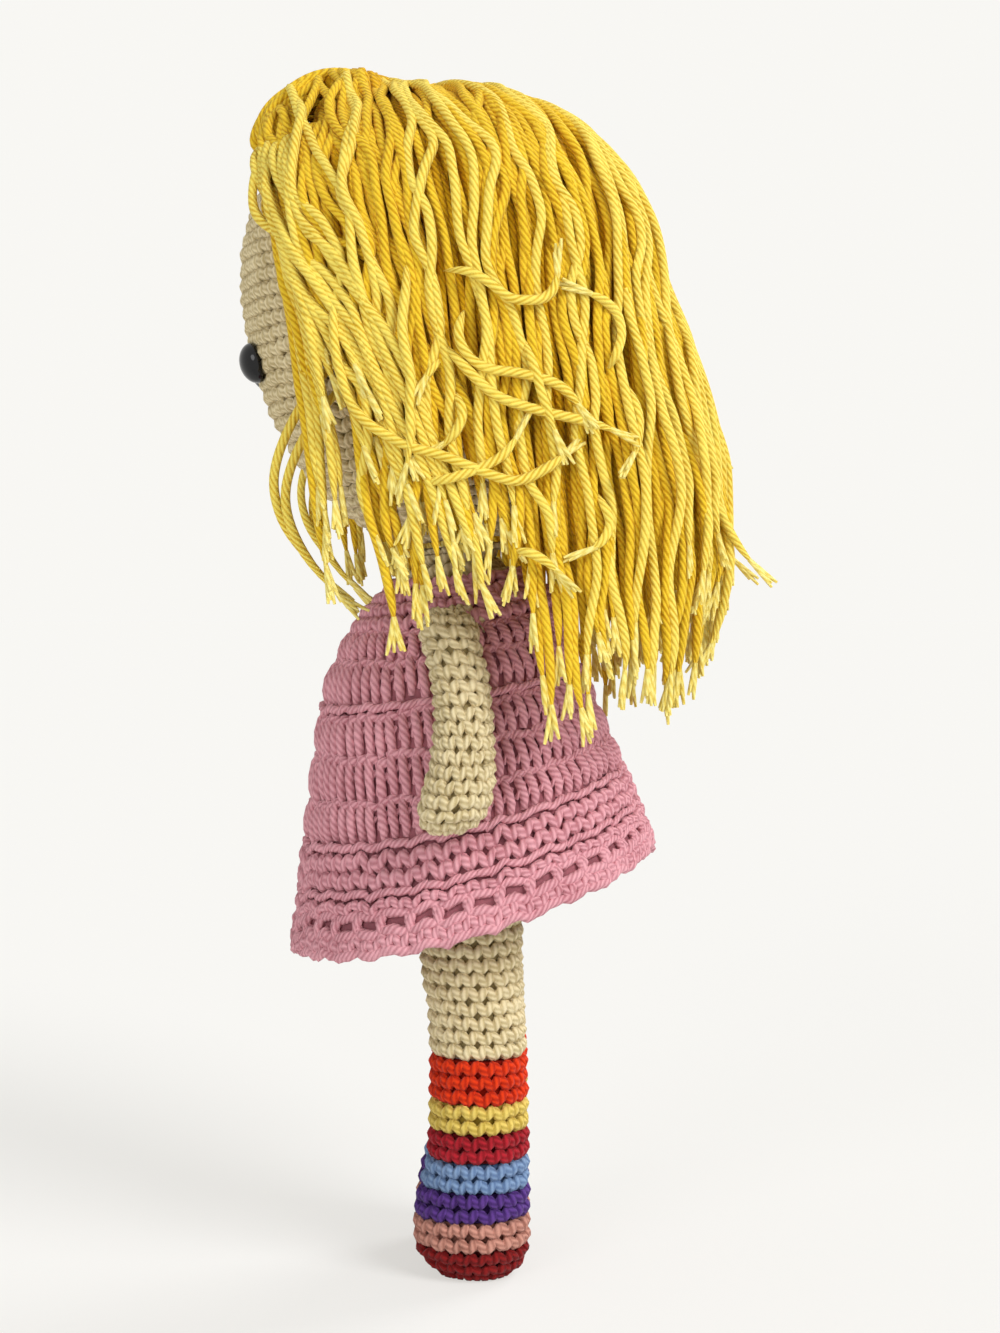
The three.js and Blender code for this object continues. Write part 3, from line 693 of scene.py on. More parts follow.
# %% Head and body
crocheted("head_yarn", ["head_cover"], "head", "skin", LEAN, NECK)
crocheted("body_yarn", ["body_cover"], "torso", "skin", LEAN, HIPS)
crocheted("neck_seam_yarn", ["neck_seam"], "torso", "skin", LEAN, NECK)
for side in SIDES:
    seam = f"shoulder_seam_{side}"
    crocheted(f"{seam}_yarn", [seam], "torso", "skin", axis=Vector((1, 0, 0)))

# %% [markdown]
# ## Filling
# The doll is filled with loose white fibre. Separate fibres would never show, because the covers are closed.
# A closed form with small lumps, a little smaller than its solid, takes the room that the filling has.

# %% Filling
LUMPS = 0.25 * MM
FILLING_INSET = 0.6 * MM


def stuffing(name, node, body, axis=UPRIGHT):
    """Loose filling: a lumpy closed form a little smaller than its solid."""
    form = outside([node], axis)
    lumps = chance.normal(0, LUMPS, form["grid"].shape[:2] + (1,))
    form["grid"] = form["grid"] - form["normal"] * (FILLING_INSET + np.abs(lumps))
    return piece(name, [lining(form, 0)], [filling_fibre], body, [node])


stuffing("head_stuffing", "head_filling", "head", LEAN)
stuffing("body_stuffing", "body_filling", "torso", LEAN)
for side in SIDES:
    stuffing(f"arm_stuffing_{side}", f"arm_filling_{side}", f"arm_{side}")
    stuffing(f"leg_stuffing_{side}", f"leg_filling_{side}", f"leg_{side}")

# %% [markdown]
# ## Stitches of the dress
# The dress has three stitches of its own. A tall stitch is a long post with a strand wrapped over it, a
# ridge is a strand that lies along the row, and the edging is an open pattern of posts that lean together
# in pairs. They are drawn in the same way as the single crochet, so the same winding serves for all.

# %% Stitches of the dress
TALL = template(
    "tall",
    [
        [(-0.25, 4.6, -2.1, 0.85), (-0.5, 2.6, -0.95, 1), (0.05, 0.2, -0.7, 1.05), (0.4, -2.2, -0.95, 1),
         (0.1, -4.6, -2.1, 0.85)],
        [(-1.45, -1.4, -1.9, 0.6), (-0.2, 0.1, -0.25, 0.7), (1.3, 1.5, -1.9, 0.6)],
        [(-1.9, 3.9, -1.9, 0.75), (-0.5, 4.4, -1.35, 0.85), (0.7, 4.0, -1.35, 0.85), (1.9, 3.9, -1.9, 0.75)],
    ],
    2.6 * MM,
)
RIDGE = template(
    "ridge",
    [[(-2.6, -0.3, -1.2, 0.8), (-1.0, -0.1, -0.6, 1), (1.0, 0.2, -0.5, 1), (2.6, 0.4, -1.2, 0.8)]],
    2.0 * MM,
)
EDGING = template(
    "edging",
    [
        [(-4.5, 4.5, -1.7, 0.9), (-1.5, 4.3, -1.2, 1), (1.5, 4.6, -1.2, 1), (4.5, 4.5, -1.7, 0.9)],
        [(-5.1, 4.6, -1.8, 0.9), (-4.6, 2.6, -0.8, 1), (-3.5, 0.2, -1.4, 0.95)],
        [(-3.2, 4.6, -1.8, 0.9), (-3.9, 2.4, -0.5, 1), (-4.9, 0.2, -1.4, 0.95)],
        [(-4.5, 0.4, -1.7, 0.95), (-2.1, 0.1, -0.9, 1.1), (0, 0.5, -0.8, 1.1), (2.1, 0.0, -0.9, 1.1),
         (4.5, 0.4, -1.7, 0.95)],
        [(-4.2, -0.5, -1.6, 0.9), (-3.3, -1.6, -0.6, 1.05), (-2.3, -3.2, -1.3, 0.9)],
        [(0.1, -0.5, -1.6, 0.9), (-0.9, -1.7, -0.6, 1.05), (-1.9, -3.3, -1.3, 0.9)],
        [(-0.1, -0.5, -1.6, 0.9), (0.9, -1.6, -0.5, 1.05), (1.9, -3.2, -1.3, 0.9)],
        [(4.2, -0.5, -1.6, 0.9), (3.3, -1.8, -0.6, 1.05), (2.3, -3.3, -1.3, 0.9)],
        [(-4.5, -3.8, -1.7, 0.9), (-2.1, -4.1, -1.0, 1), (0, -3.7, -1.0, 1), (2.1, -4.1, -1.0, 1),
         (4.5, -3.8, -1.7, 0.9)],
    ],
    2.6 * MM,
)
# Each kind of stitch with its width and its height.
STITCHES = {
    "single": (SINGLE, STITCH, ROUND),
    "tall": (TALL, 3.5 * MM, 9 * MM),
    "ridge": (RIDGE, STITCH, 2.6 * MM),
    "edging": (EDGING, 8.4 * MM, 9.8 * MM),
}
print("faces:", {kind: len(values[0].polygons) for kind, values in STITCHES.items()})

# %% [markdown]
# ## Dress
# The dress is worked from the neck down: four rounds of single crochet, tall stitches between raised
# ridges, more single crochet, and an openwork edging. A cloth simulation would give folds, but crochet of
# this thickness stands by itself as a bell. The fabric behind the stitches is one open sheet in painted
# shade, which lies behind the holes of the edging too, so they read dark, and ends just above the hem.

# %% Dress
# The rows from the neck down, with their heights in millimetres.
DRESS_ROWS = [("single", 3.9)] * 4 + [("tall", 7.3), ("tall", 9.9), ("ridge", 2.6), ("tall", 9.4)]
DRESS_ROWS += [("tall", 10.2), ("tall", 8.6), ("ridge", 2.6), ("single", 3.9), ("single", 3.9)]
DRESS_ROWS += [("ridge", 2.6), ("single", 2.6), ("edging", 9.8)]
FABRIC_DEPTH = 1.8 * MM
FABRIC_PAST_MIDDLE = 0.3


def dress_rows(form):
    """The rows of each kind of stitch, scaled so that together they reach from neck to hem."""
    total = sum(height for kind, height in DRESS_ROWS)
    rows = {kind: [] for kind in STITCHES}
    done = 0
    for kind, height in DRESS_ROWS:
        middle = (done + height / 2) / total
        girth = form["girth"][round(middle * (RINGS - 1))]
        rows[kind].append((middle, height / total, round(girth / STITCHES[kind][1])))
        done += height
    return rows


dress_form = outside(["dress", "hem_edging"], LEAN, HIPS)
worked = dress_rows(dress_form)
meshes = []
for kind in ("single", "tall", "ridge"):
    stitch, width, height = STITCHES[kind]
    meshes.append(crochet(stitch, dress_form, worked[kind], width, height, slant=0.0))
dress = piece("dress_yarn", meshes, [yarns["dress"]] * 3, "torso", ["dress"])
stitch, width, height = STITCHES["edging"]
edge_mesh = crochet(stitch, dress_form, worked["edging"], width, height, slant=0.0, loose=0.04)
edging = piece("edging_yarn", [edge_mesh], [yarns["dress"]], "torso", ["hem_edging"])
edge_middle, edge_height, edge_count = worked["edging"][0]
fabric_end = edge_middle + edge_height * FABRIC_PAST_MIDDLE
fabric_mesh = lining(dress_form, FABRIC_DEPTH, fabric_end, stuffed=False)
# The sheet behind the stitches and the holes of the edging is painted shade, in the dress lining's dark
# tones.
fabric = piece("dress_fabric_painted_shade", [fabric_mesh], [shade_linings["dress"]], "torso", [])
print("rows of the dress:", len(DRESS_ROWS), "and patterns in the edging:", edge_count)

# %% [markdown]
# ## Eyes
# A safety eye is a black plastic dome with a shank, which a washer holds inside the head. A scaled sphere
# would do for the dome, but the rim and the shank belong to it. One outline spun round its axis makes all of
# it. The axis is found from how the points of the solid are spread.

# %% Eyes
EYE_RADIUS = 5.25 * MM
EYE_DOME = 4 * MM
EYE_RIM = 0.4 * MM
EYE_BACK_RADIUS = 0.94 * EYE_RADIUS
SHANK_RADIUS = 1.8 * MM
SHANK_LENGTH = 9.4 * MM
DOME_STEPS = 12
EYE_STEPS = 48


def axis_of(node):
    """The outward axis of an eye: the direction in which its points are spread unlike the other two."""
    points = np.array([v.co for v in frame["nodes"][node].data.vertices])
    middle = points.mean(axis=0)
    spread, ways = np.linalg.eigh(np.cov((points - middle).T))
    odd = 0 if spread[1] - spread[0] > spread[2] - spread[1] else 2
    way = ways[:, odd] * (-1 if ways[1, odd] > 0 else 1)
    tip = middle + way * ((points - middle) @ way).max()
    return Vector(tip), Vector(way)


def safety_eye(node):
    """One eye, spun from its outline."""
    tip, way = axis_of(node)
    back = tip - way * EYE_DOME
    aside = way.orthogonal().normalized()
    outline = [(EYE_DOME, 0)]
    for step in range(1, DOME_STEPS + 1):
        turn = math.pi / 2 * step / DOME_STEPS
        outline.append((EYE_DOME * math.cos(turn), EYE_RADIUS * math.sin(turn)))
    outline += [(-EYE_RIM, EYE_BACK_RADIUS), (-EYE_RIM, SHANK_RADIUS)]
    outline += [(-SHANK_LENGTH, SHANK_RADIUS), (-SHANK_LENGTH, 0)]
    bm = bmesh.new()
    verts = [bm.verts.new(back + way * forward + aside * out) for forward, out in outline]
    edges = [bm.edges.new(pair) for pair in zip(verts, verts[1:])]
    bmesh.ops.spin(bm, geom=verts + edges, cent=tip, axis=way, angle=FULL_TURN, steps=EYE_STEPS,
                   use_merge=True)
    bmesh.ops.remove_doubles(bm, verts=bm.verts, dist=WELD)
    bmesh.ops.recalc_face_normals(bm, faces=bm.faces)
    mesh = bpy.data.meshes.new(node)
    bm.to_mesh(mesh)
    bm.free()
    return mesh


for side in SIDES:
    eye_mesh = safety_eye(f"eye_{side}")
    piece(f"safety_eye_{side}", [eye_mesh], [eye_plastic], "head", [f"eye_{side}"])
    washer = frame["nodes"][f"eye_washer_{side}"]
    washer.data.materials.clear()
    washer.data.materials.append(washer_plastic)
    print("faces of the", side, "eye:", len(eye_mesh.polygons))

# %% [markdown]
# ## Hair: the space it fills
# The hair is cut yarn, knotted along a parting and hanging over the head in many layers. A particle system
# could grow it, but it is hard to make its strands fold and end at given places. The six hair solids give an
# outer and an inner shell instead. They are read at fixed distances from the crown, so a strand can be drawn
# on a flat map of the head: its distance from the crown and its angle.


# %% Hair: the space it fills
HAIR_PARTS = ["fringe", "side_hair", "back_hair"]
HAIR_NODES = [f"{part}_{side}" for part in HAIR_PARTS for side in SIDES]
HAIR_TRIM = 0.999


def shell(outward):
    """The outer or the inner face of the hair, as a form whose rings keep one distance from the crown."""
    turn = LEAN.rotation_difference(UPRIGHT).to_matrix()
    tree, points = tree_of(HAIR_NODES, turn)
    axis_point = turn @ NECK
    spokes = []
    for angle in SPOKE_ANGLES:
        way = towards(angle)
        path = []
        for height in levels(points, HAIR_TRIM):
            centre = Vector((axis_point.x, axis_point.y, height))
            start = centre if outward else centre + way * FAR
            found = tree.ray_cast(start, way if outward else -way, FAR)
            if found[0]:
                path.append(((found[0] - centre).dot(way), height))
        spokes.append(path)
    crown = (0, np.mean([path[0][1] for path in spokes]))
    paths = [np.array([crown] + path) for path in spokes]
    runs = [run_of(path) for path in paths]
    lengths = np.array([run[-1] for run in runs])
    marks = np.linspace(0, lengths.max(), RINGS)
    tables = []
    for part in range(2):
        columns = [np.interp(marks, run, path[:, part], right=np.nan) for run, path in zip(runs, paths)]
        table = np.stack(columns, axis=1)
        for ring in table:
            known = np.isfinite(ring)
            ring[:] = np.interp(SPOKE_ANGLES, SPOKE_ANGLES[known], ring[known], period=FULL_TURN)
        tables.append(table)
    reach, level = tables
    aside = axis_point.x + np.sin(SPOKE_ANGLES) * reach
    back = axis_point.y - np.cos(SPOKE_ANGLES) * reach
    grid = np.stack([aside, back, level], axis=2) @ np.array(turn)
    return {"grid": grid, "longest": lengths.max(), "lengths": lengths}


outer_shell = shell(False)
inner_shell = shell(True)


def in_hair(distance, angle, depth):
    """Points in the hair at a distance from the crown and an angle; depth 0 is inside and 1 outside."""
    ring = np.asarray(distance) * (RINGS - 1)
    spoke = spoke_at(angle)
    high = between(outer_shell["grid"], np.minimum(ring / outer_shell["longest"], RINGS - 1), spoke)
    low = between(inner_shell["grid"], np.minimum(ring / inner_shell["longest"], RINGS - 1), spoke)
    depth = np.reshape(depth, (-1, 1))
    return low * (1 - depth) + high * depth


def hair_length(angle):
    """How far the hair reaches from the crown at an angle in degrees from the face."""
    return float(np.interp(math.radians(angle), SPOKE_ANGLES, outer_shell["lengths"], period=FULL_TURN))


for angle in (10, 60, 90, 120, 175):
    print("at", angle, "degrees the hair reaches", round(hair_length(angle) / MM), "mm")

# %% [markdown]
# ## Hair: a strand
# A strand is soft yarn that swings from side to side and in and out a little, with its own rhythm. Straight
# strands would look combed, and fully random ones tangled. Two slow waves on a simple curve lie between. The
# cut end of a strand comes apart into short plies.

# %% Hair: a strand
HAIR_YARN = 2.5 * MM
KNOT_STEP = 6 * MM
FEWEST_KNOTS = 5
RHYTHM = (30, 64)
SWAY_GROWTH = 3
RIPPLE = 0.3
RIPPLE_PACE = 17
DEPTH_SWING = 0.1
DEPTH_PACE = 4.1
DEPTH_LIMIT = 1.2
HEAD_MIDDLE = np.array([0, 0, 232 * MM])
FOLD_SHARE = 0.35
DRAWN_IN = 0.1
PLIES = 6
PLY_SPREAD = 0.15
PLY_LENGTH = (3.5, 7.5)
PLY_ROOT = 2.5 * MM
PLY_RADII = [0.5, 0.55, 0.3]
ENDS = ("ends", 3)


def on_map(angle, distance):
    """A place on the flat map of the head; the angle is in degrees from the face."""
    turn = math.radians(angle)
    return np.array([math.sin(turn), -math.cos(turn)]) * distance


def from_map(place, depth):
    """Points in the hair at places on the map."""
    return in_hair(np.linalg.norm(place, axis=1), np.arctan2(place[:, 0], -place[:, 1]), depth)


def strand(root, bend, end, depth, sway, fold=0.0):
    """Points of a strand from root to end, drawn on the map as a curve that leans towards bend.

    A fold lifts the first third of the strand off the head.
    """
    length = np.linalg.norm(bend - root) + np.linalg.norm(end - bend)
    count = max(FEWEST_KNOTS, round(length / KNOT_STEP))
    along = np.linspace(0, 1, count)[:, None]
    place = root * (1 - along) ** 2 + bend * 2 * along * (1 - along) + end * along**2
    way = unit(np.gradient(place, axis=0))
    across = np.column_stack([-way[:, 1], way[:, 0]])
    rhythm = chance.uniform(*RHYTHM) * MM
    phase = chance.uniform(0, FULL_TURN, 2)
    run = along[:, 0] * length
    grow = np.clip(along[:, 0] * SWAY_GROWTH, 0, 1)
    swing = np.sin(run / rhythm * FULL_TURN + phase[0])
    swing = swing + RIPPLE * np.sin(run / rhythm * RIPPLE_PACE + phase[1])
    place = place + across * (sway * grow * swing)[:, None]
    level = np.interp(along[:, 0], np.linspace(0, 1, len(depth)), depth)
    level = level + DEPTH_SWING * grow * np.sin(run / rhythm * DEPTH_PACE + phase[1])
    points = from_map(place, np.clip(level, 0, DEPTH_LIMIT))
    lift = fold * np.sin(math.pi * np.clip(along / FOLD_SHARE, 0, 1))
    return points + unit(points - HEAD_MIDDLE) * lift


def frayed(points):
    """Short plies that spread from the end of a strand."""
    tip = points[-1]
    way = unit(tip - points[-2])
    ends = []
    for ply in range(PLIES):
        spread = unit(way + chance.normal(0, PLY_SPREAD, 3))
        far = tip + spread * chance.uniform(*PLY_LENGTH) * MM
        ends.append((np.array([tip - way * PLY_ROOT, (tip + far) / 2, far]), PLY_RADII))
    return ends


def whole_strand(points):
    """A strand of even thickness, drawn in at both ends."""
    radii = np.ones(len(points))
    radii[[0, -1]] = DRAWN_IN
    return points, radii


def add(groups, kind, points, fray=True):
    """Puts a strand into the group of its tone and smoothness, and its plies into the group of ends."""
    groups.setdefault(kind, []).append(whole_strand(points))
    if fray:
        groups.setdefault(ENDS, []).extend(frayed(points))


def grown(pair, step):
    """A value that starts at the first of a pair and grows by the second with each step."""
    start, growth = pair
    return start + growth * step


print("knots in 100 mm of hair:", round(100 * MM / KNOT_STEP))

# %% [markdown]
# ## Hair: sides and back
# Here the strands start along the parting and hang down in six layers. One layer would let the head show
# through. The lower layers are dense, straight and a deeper gold of painted shade, and the top ones are
# sparse and cross each other, the highest with painted light, which gives the depth of real hair for few
# strands.

# %% Hair: sides and back
SIDE_ANGLE = 66
EAR_ANGLE = 84
BACK_ANGLE = 104
LAST_ANGLE = 179
# The parting runs from 32 mm before the crown to 56 mm behind it.
PARTING = (32, -88)
FALL_BACK = 0.4
FRONT_ANGLE = 76
FRONT_EXTRA = 3 * MM
# The tone of each layer is painted shade below, gold between and painted light on top.
LAYERS = [
    {"depth": 0.06, "gap": 1.9, "sway": 1.0, "tone": "deep", "smooth": 2, "cross": 1, "reach": (0.7, 0.84)},
    {"depth": 0.20, "gap": 2.3, "sway": 1.3, "tone": "deep", "smooth": 2, "cross": 2, "reach": (0.7, 0.84)},
    {"depth": 0.34, "gap": 2.2, "sway": 1.6, "tone": "deep", "smooth": 2, "cross": 2, "reach": (0.76, 0.9)},
    {"depth": 0.60, "gap": 2.5, "sway": 2.6, "tone": "gold", "smooth": 3, "cross": 3, "reach": (0.84, 0.97)},
    {"depth": 0.84, "gap": 3.6, "sway": 4.0, "tone": "gold", "smooth": 3, "cross": 5, "reach": (0.86, 1.0)},
    {"depth": 1.00, "gap": 5.0, "sway": 6.0, "tone": "pale", "smooth": 3, "cross": 7, "reach": (0.72, 1.0)},
]


def hanging_strand(layer, angle):
    """A strand of a layer, from the parting to an angle; those before the ear fall a little back."""
    slip = (angle - SIDE_ANGLE) / (180 - SIDE_ANGLE)
    top = on_map(0, (grown(PARTING, slip) + chance.normal(0, 1 + layer["cross"])) * MM)
    fall = angle + FALL_BACK * max(0, EAR_ANGLE - angle)
    reach = hair_length(fall) * chance.uniform(*layer["reach"])
    reach += FRONT_EXTRA if fall < FRONT_ANGLE else 0
    end = on_map(fall + chance.normal(0, 1), reach)
    bend = (top + end) / 2 + chance.normal(0, 3 + layer["cross"], 2) * MM
    return strand(top, bend, end, [layer["depth"]], chance.uniform(0.3, 1) * layer["sway"] * MM)


def main_hair():
    """Strands of the side and back of one half, as {part: {(tone, smoothness): strands}}."""
    found = {"side_hair": {}, "back_hair": {}}
    for layer in LAYERS:
        angle = SIDE_ANGLE + chance.uniform(0, 2)
        while angle < LAST_ANGLE:
            groups = found["side_hair" if angle < BACK_ANGLE else "back_hair"]
            points = hanging_strand(layer, angle)
            add(groups, (layer["tone"], layer["smooth"]), points, fray=layer["tone"] != "deep")
            angle += layer["gap"] * chance.uniform(0.8, 1.2)
    return found


print("layers of hair:", len(LAYERS))

# %% [markdown]
# ## Hair: fringe
# In front, strands come forward over the brow as a puff. Others fold at the hairline and sweep back over the
# sides, and a few fall from there past the cheek. Plain strands in painted shade lie under the puff, so the
# head doesn't show through it. Swept strands on top have painted light. Each kind has its own function,
# because each takes another way over the map.

# %% Hair: fringe
HAIRLINE = 65 * MM
FOLD = 4.5 * MM
SWAY = (0.5, 2.2)
# A pair is the value for the first strand and its growth from one strand to the next. Angles are in degrees
# from the face, and distances without a unit are in millimetres from the crown.
UNDER_STRANDS = 30
UNDER_KNOTS = 9
UNDER_ROOT = (1, 1.5)
UNDER_END_ANGLE = (3, 2.1)
UNDER_SHORTER = 3 * MM
PUFF_STRANDS = 24
PUFF_ROOT = (2, 1.8)
PUFF_BEND = 46
PUFF_BEND_ANGLE = (10, 1.2)
PUFF_END_ANGLE = (4, 2.1)
SWEPT_STRANDS = 20
SWEPT_ROOT_ANGLE = (6, 2.2)
SWEPT_LEAST_BEND = 53
SWEPT_END = (106, 2.6)
SWEPT_END_ANGLE = (62, 2.0)
CHEEK_STRANDS = 6
CHEEK_ROOT_ANGLE = (8, 3.5)
CHEEK_ANGLE = (54, 1.0)
BROW_BEND = 77


def under_strand(step):
    """A plain strand under the puff, from the parting to just before the hairline."""
    along = np.linspace(0, 1, UNDER_KNOTS)[:, None]
    root = on_map(0, grown(UNDER_ROOT, step) * MM)
    end = on_map(grown(UNDER_END_ANGLE, step), HAIRLINE - UNDER_SHORTER)
    depth = np.interp(along[:, 0], [0, 0.5, 1], [0.4, 0.6, 0.05])
    return from_map(root * (1 - along) + end * along, depth)


def puff_strand(step):
    """A strand that comes forward over the brow and tucks in at the hairline."""
    root = on_map(0, grown(PUFF_ROOT, step) * MM)
    end_angle = grown(PUFF_END_ANGLE, step) + chance.normal(0, 2)
    end = on_map(end_angle, HAIRLINE + chance.normal(0, 2) * MM)
    bend = on_map(grown(PUFF_BEND_ANGLE, step), (PUFF_BEND + chance.normal(0, 3)) * MM)
    return strand(root, bend, end, [0.6, 1.0, 0.9, 0.1], chance.uniform(0.5, 2) * MM)


def swept_strand(step, under):
    """A strand that folds at the hairline and sweeps back, over or under its neighbours."""
    angle = grown(SWEPT_ROOT_ANGLE, step)
    root = on_map(angle, HAIRLINE - (3 + chance.normal(0, 2)) * MM)
    bend_angle = max(angle + 8, SWEPT_LEAST_BEND) + chance.normal(0, 2)
    bend = on_map(bend_angle, (BROW_BEND + chance.normal(0, 4)) * MM)
    end_angle = grown(SWEPT_END_ANGLE, step) + chance.normal(0, 4)
    end = on_map(end_angle, (grown(SWEPT_END, step) + chance.normal(0, 8)) * MM)
    depth = [0.1, 0.6, 0.7, 0.8] if under else [0.1, 0.95, 1.1, 1.1]
    return strand(root, bend, end, depth, chance.uniform(*SWAY) * MM, FOLD)


def cheek_strand(step):
    """A strand that falls from the hairline past the cheek."""
    root = on_map(grown(CHEEK_ROOT_ANGLE, step), HAIRLINE - (2 + chance.normal(0, 2)) * MM)
    angle = grown(CHEEK_ANGLE, step) + chance.normal(0, 1)
    bend = on_map(angle - 4, (BROW_BEND + chance.normal(0, 4)) * MM)
    end = on_map(angle + 4, hair_length(SIDE_ANGLE) * chance.uniform(0.8, 0.92))
    return strand(root, bend, end, [0.1, 0.6, 0.8, 0.9], chance.uniform(*SWAY) * MM)


def fringe_hair():
    """Strands of the fringe of one half, as {(tone, smoothness): strands}."""
    groups = {("gold", 3): [], ("pale", 3): [], ENDS: [], ("deep", 2): []}
    # Under strands have painted shade; swept strands on top and most cheek strands have painted light, the
    # rest gold.
    for step in range(UNDER_STRANDS):
        add(groups, ("deep", 2), under_strand(step), fray=False)
    for step in range(PUFF_STRANDS):
        add(groups, ("gold", 3), puff_strand(step), fray=False)
    for step in range(SWEPT_STRANDS):
        under = step % 2
        add(groups, ("gold" if under else "pale", 3), swept_strand(step, under))
    for step in range(CHEEK_STRANDS):
        add(groups, ("pale" if step % 3 else "gold", 3), cheek_strand(step))
    return groups


print("strands in each fringe:", UNDER_STRANDS + PUFF_STRANDS + SWEPT_STRANDS + CHEEK_STRANDS)

# %% [markdown]
# ## Hair: parting and pieces
# Short loops across the parting show where the strands are knotted to the head. The two halves could be
# exact mirror images, which the eye would notice, so each half draws its own strands and only their places
# are turned over.

# %% Hair: parting and pieces
PARTING_LOOPS = 44
LOOP_BACK = (-54, 2.6)
LOOP_ASIDE = np.array([-8, -4, 0, 4, 8]) * MM
LOOP_DEPTH = [0.5, 0.85, 0.95, 0.85, 0.5]


def parting_loops():
    """Short loops of yarn across the parting, where the strands are knotted to the head."""
    loops = []
    for step in range(PARTING_LOOPS):
        back = (grown(LOOP_BACK, step) + chance.normal(0, 0.5)) * MM
        slip = chance.normal(0, 0.8, len(LOOP_ASIDE)) * MM
        place = np.column_stack([LOOP_ASIDE, back + slip])
        loops.append(whole_strand(from_map(place, LOOP_DEPTH)))
    return loops


def mirrored(strands):
    """The same strands on the other side of the parting."""
    return [(points * np.array([-1, 1, 1]), radii) for points, radii in strands]


def hair_piece(name, groups, sign, nodes):
    """One piece of hair from groups of strands."""
    meshes = []
    for (tone, smooth), strands in groups.items():
        strands = strands if sign > 0 else mirrored(strands)
        meshes.append(yarn_mesh(f"{name}_{tone}", strands, HAIR_YARN, smooth=smooth))
    materials = [hair_yarns[tone] for tone, smooth in groups]
    whole = piece(name, meshes, materials, "head", nodes)
    print(name, "triangles:", sum(len(face.vertices) - 2 for face in whole.data.polygons))


hair_piece("parting_loops", {("gold", 3): parting_loops()}, 1, [])
for side, sign in SIDES.items():
    parts = main_hair()
    parts["fringe"] = fringe_hair()
    for part, groups in parts.items():
        hair_piece(f"{part}_strands_{side}", groups, sign, [f"{part}_{side}"])

# %% [markdown]
# ## Hair: loose strands
# A few strands lie across the others, two hang in bows in front of the cheek, and one stands off at the
# back. No rule would put them where they are on the doll, so their places are listed, in millimetres. The
# crossing ones have distances back and up, and a ray from the side sets each point on the hair. The free
# ones have a distance to the side as well.

# %% Hair: loose strands
CROSSING = [
    [(-37, 252), (-37, 243), (-37, 234), (-35, 227), (-33, 220), (-28, 215), (-24, 213), (-19, 210),
     (-13, 209), (-8, 207), (-3, 205), (2, 203), (6, 202), (9, 203), (13, 205), (16, 207), (18, 209)],
    [(-11, 252), (-7, 252), (-3, 251), (1, 248), (5, 245), (8, 245), (11, 245), (14, 246), (16, 249),
     (16, 253)],
    [(28, 229), (30, 232), (31, 235), (32, 238), (31, 243), (29, 245), (26, 247), (22, 248)],
    [(-6, 243), (-7, 240), (-8, 236), (-5, 231), (-2, 229), (2, 228), (6, 228), (10, 227), (14, 226),
     (17, 225), (20, 222), (22, 219)],
    [(-13, 237), (-8, 231), (-4, 227), (0, 223), (4, 221), (8, 220), (11, 219), (16, 218), (21, 217),
     (26, 216), (31, 214)],
    [(-11, 232), (-13, 229), (-14, 228), (-16, 225)],
    [(-9, 224), (-7, 221), (-6, 218), (-7, 215), (-9, 212), (-12, 210)],
    [(-18, 202), (-13, 202), (-8, 203), (-3, 205), (2, 207), (5, 210), (7, 214)],
    [(5, 186), (8, 186), (11, 185), (14, 183), (17, 180)],
    [(25, 200), (27, 197), (29, 193), (28, 190), (26, 187), (23, 186)],
    [(31, 228), (34, 224), (36, 219), (36, 215), (35, 210), (34, 208)],
    [(-20, 257), (-19, 249), (-21, 241), (-20, 233), (-18, 226), (-19, 219), (-18, 211), (-20, 204)],
    [(7, 238), (9, 233), (11, 228), (12, 223), (14, 218), (16, 212)],
    [(-5, 193), (-2, 187), (-3, 181), (-1, 176), (-2, 170)],
]
FREE = [
    [(44, -28, 240), (44, -39, 231), (42, -47, 220), (40, -53, 207), (39, -53, 197), (38, -48, 187),
     (36, -38, 177)],
    [(46, -27, 233), (46, -38, 224), (44, -45, 214), (42, -50, 203), (41, -50, 193), (39, -44, 182),
     (37, -36, 174)],
    [(20, 50, 214), (20, 54, 204), (20, 59, 193), (20, 63, 186), (20, 67, 182)],
]
LAID_HEIGHT = 0.9 * HAIR_YARN
SUNK_DEPTH = 2.4 * HAIR_YARN
ASIDE = Vector((1, 0, 0))
hair_tree = tree_of(HAIR_NODES, Matrix.Identity(3))[0]


def laid_on(path):
    """Points of a loose strand, set on the side of the hair; it starts between the strands under it."""
    placed = []
    for back, up in path:
        found = hair_tree.ray_cast(Vector((FAR, back * MM, up * MM)), -ASIDE, FAR)
        if found[0]:
            placed.append(found[0] + ASIDE * LAID_HEIGHT)
    placed[0] -= ASIDE * SUNK_DEPTH
    return np.array(placed)


for side, sign in SIDES.items():
    loose = [laid_on(path) for path in CROSSING] + [np.array(path) * MM for path in FREE]
    # Loose strands lie on top of the hair and have painted light.
    groups = {("pale", 5): [whole_strand(points) for points in loose]}
    groups[ENDS] = [ply for points in loose for ply in frayed(points)]
    hair_piece(f"loose_strands_{side}", groups, sign, [])

# %% [markdown]
# ## Light
# The doll stands in plain soft light. Area lamps near it would light some of the floor more than the rest.
# Three sun lamps with wide discs give soft light of one strength everywhere, so the floor has one level,
# which is added up here from the lamps and the sky.

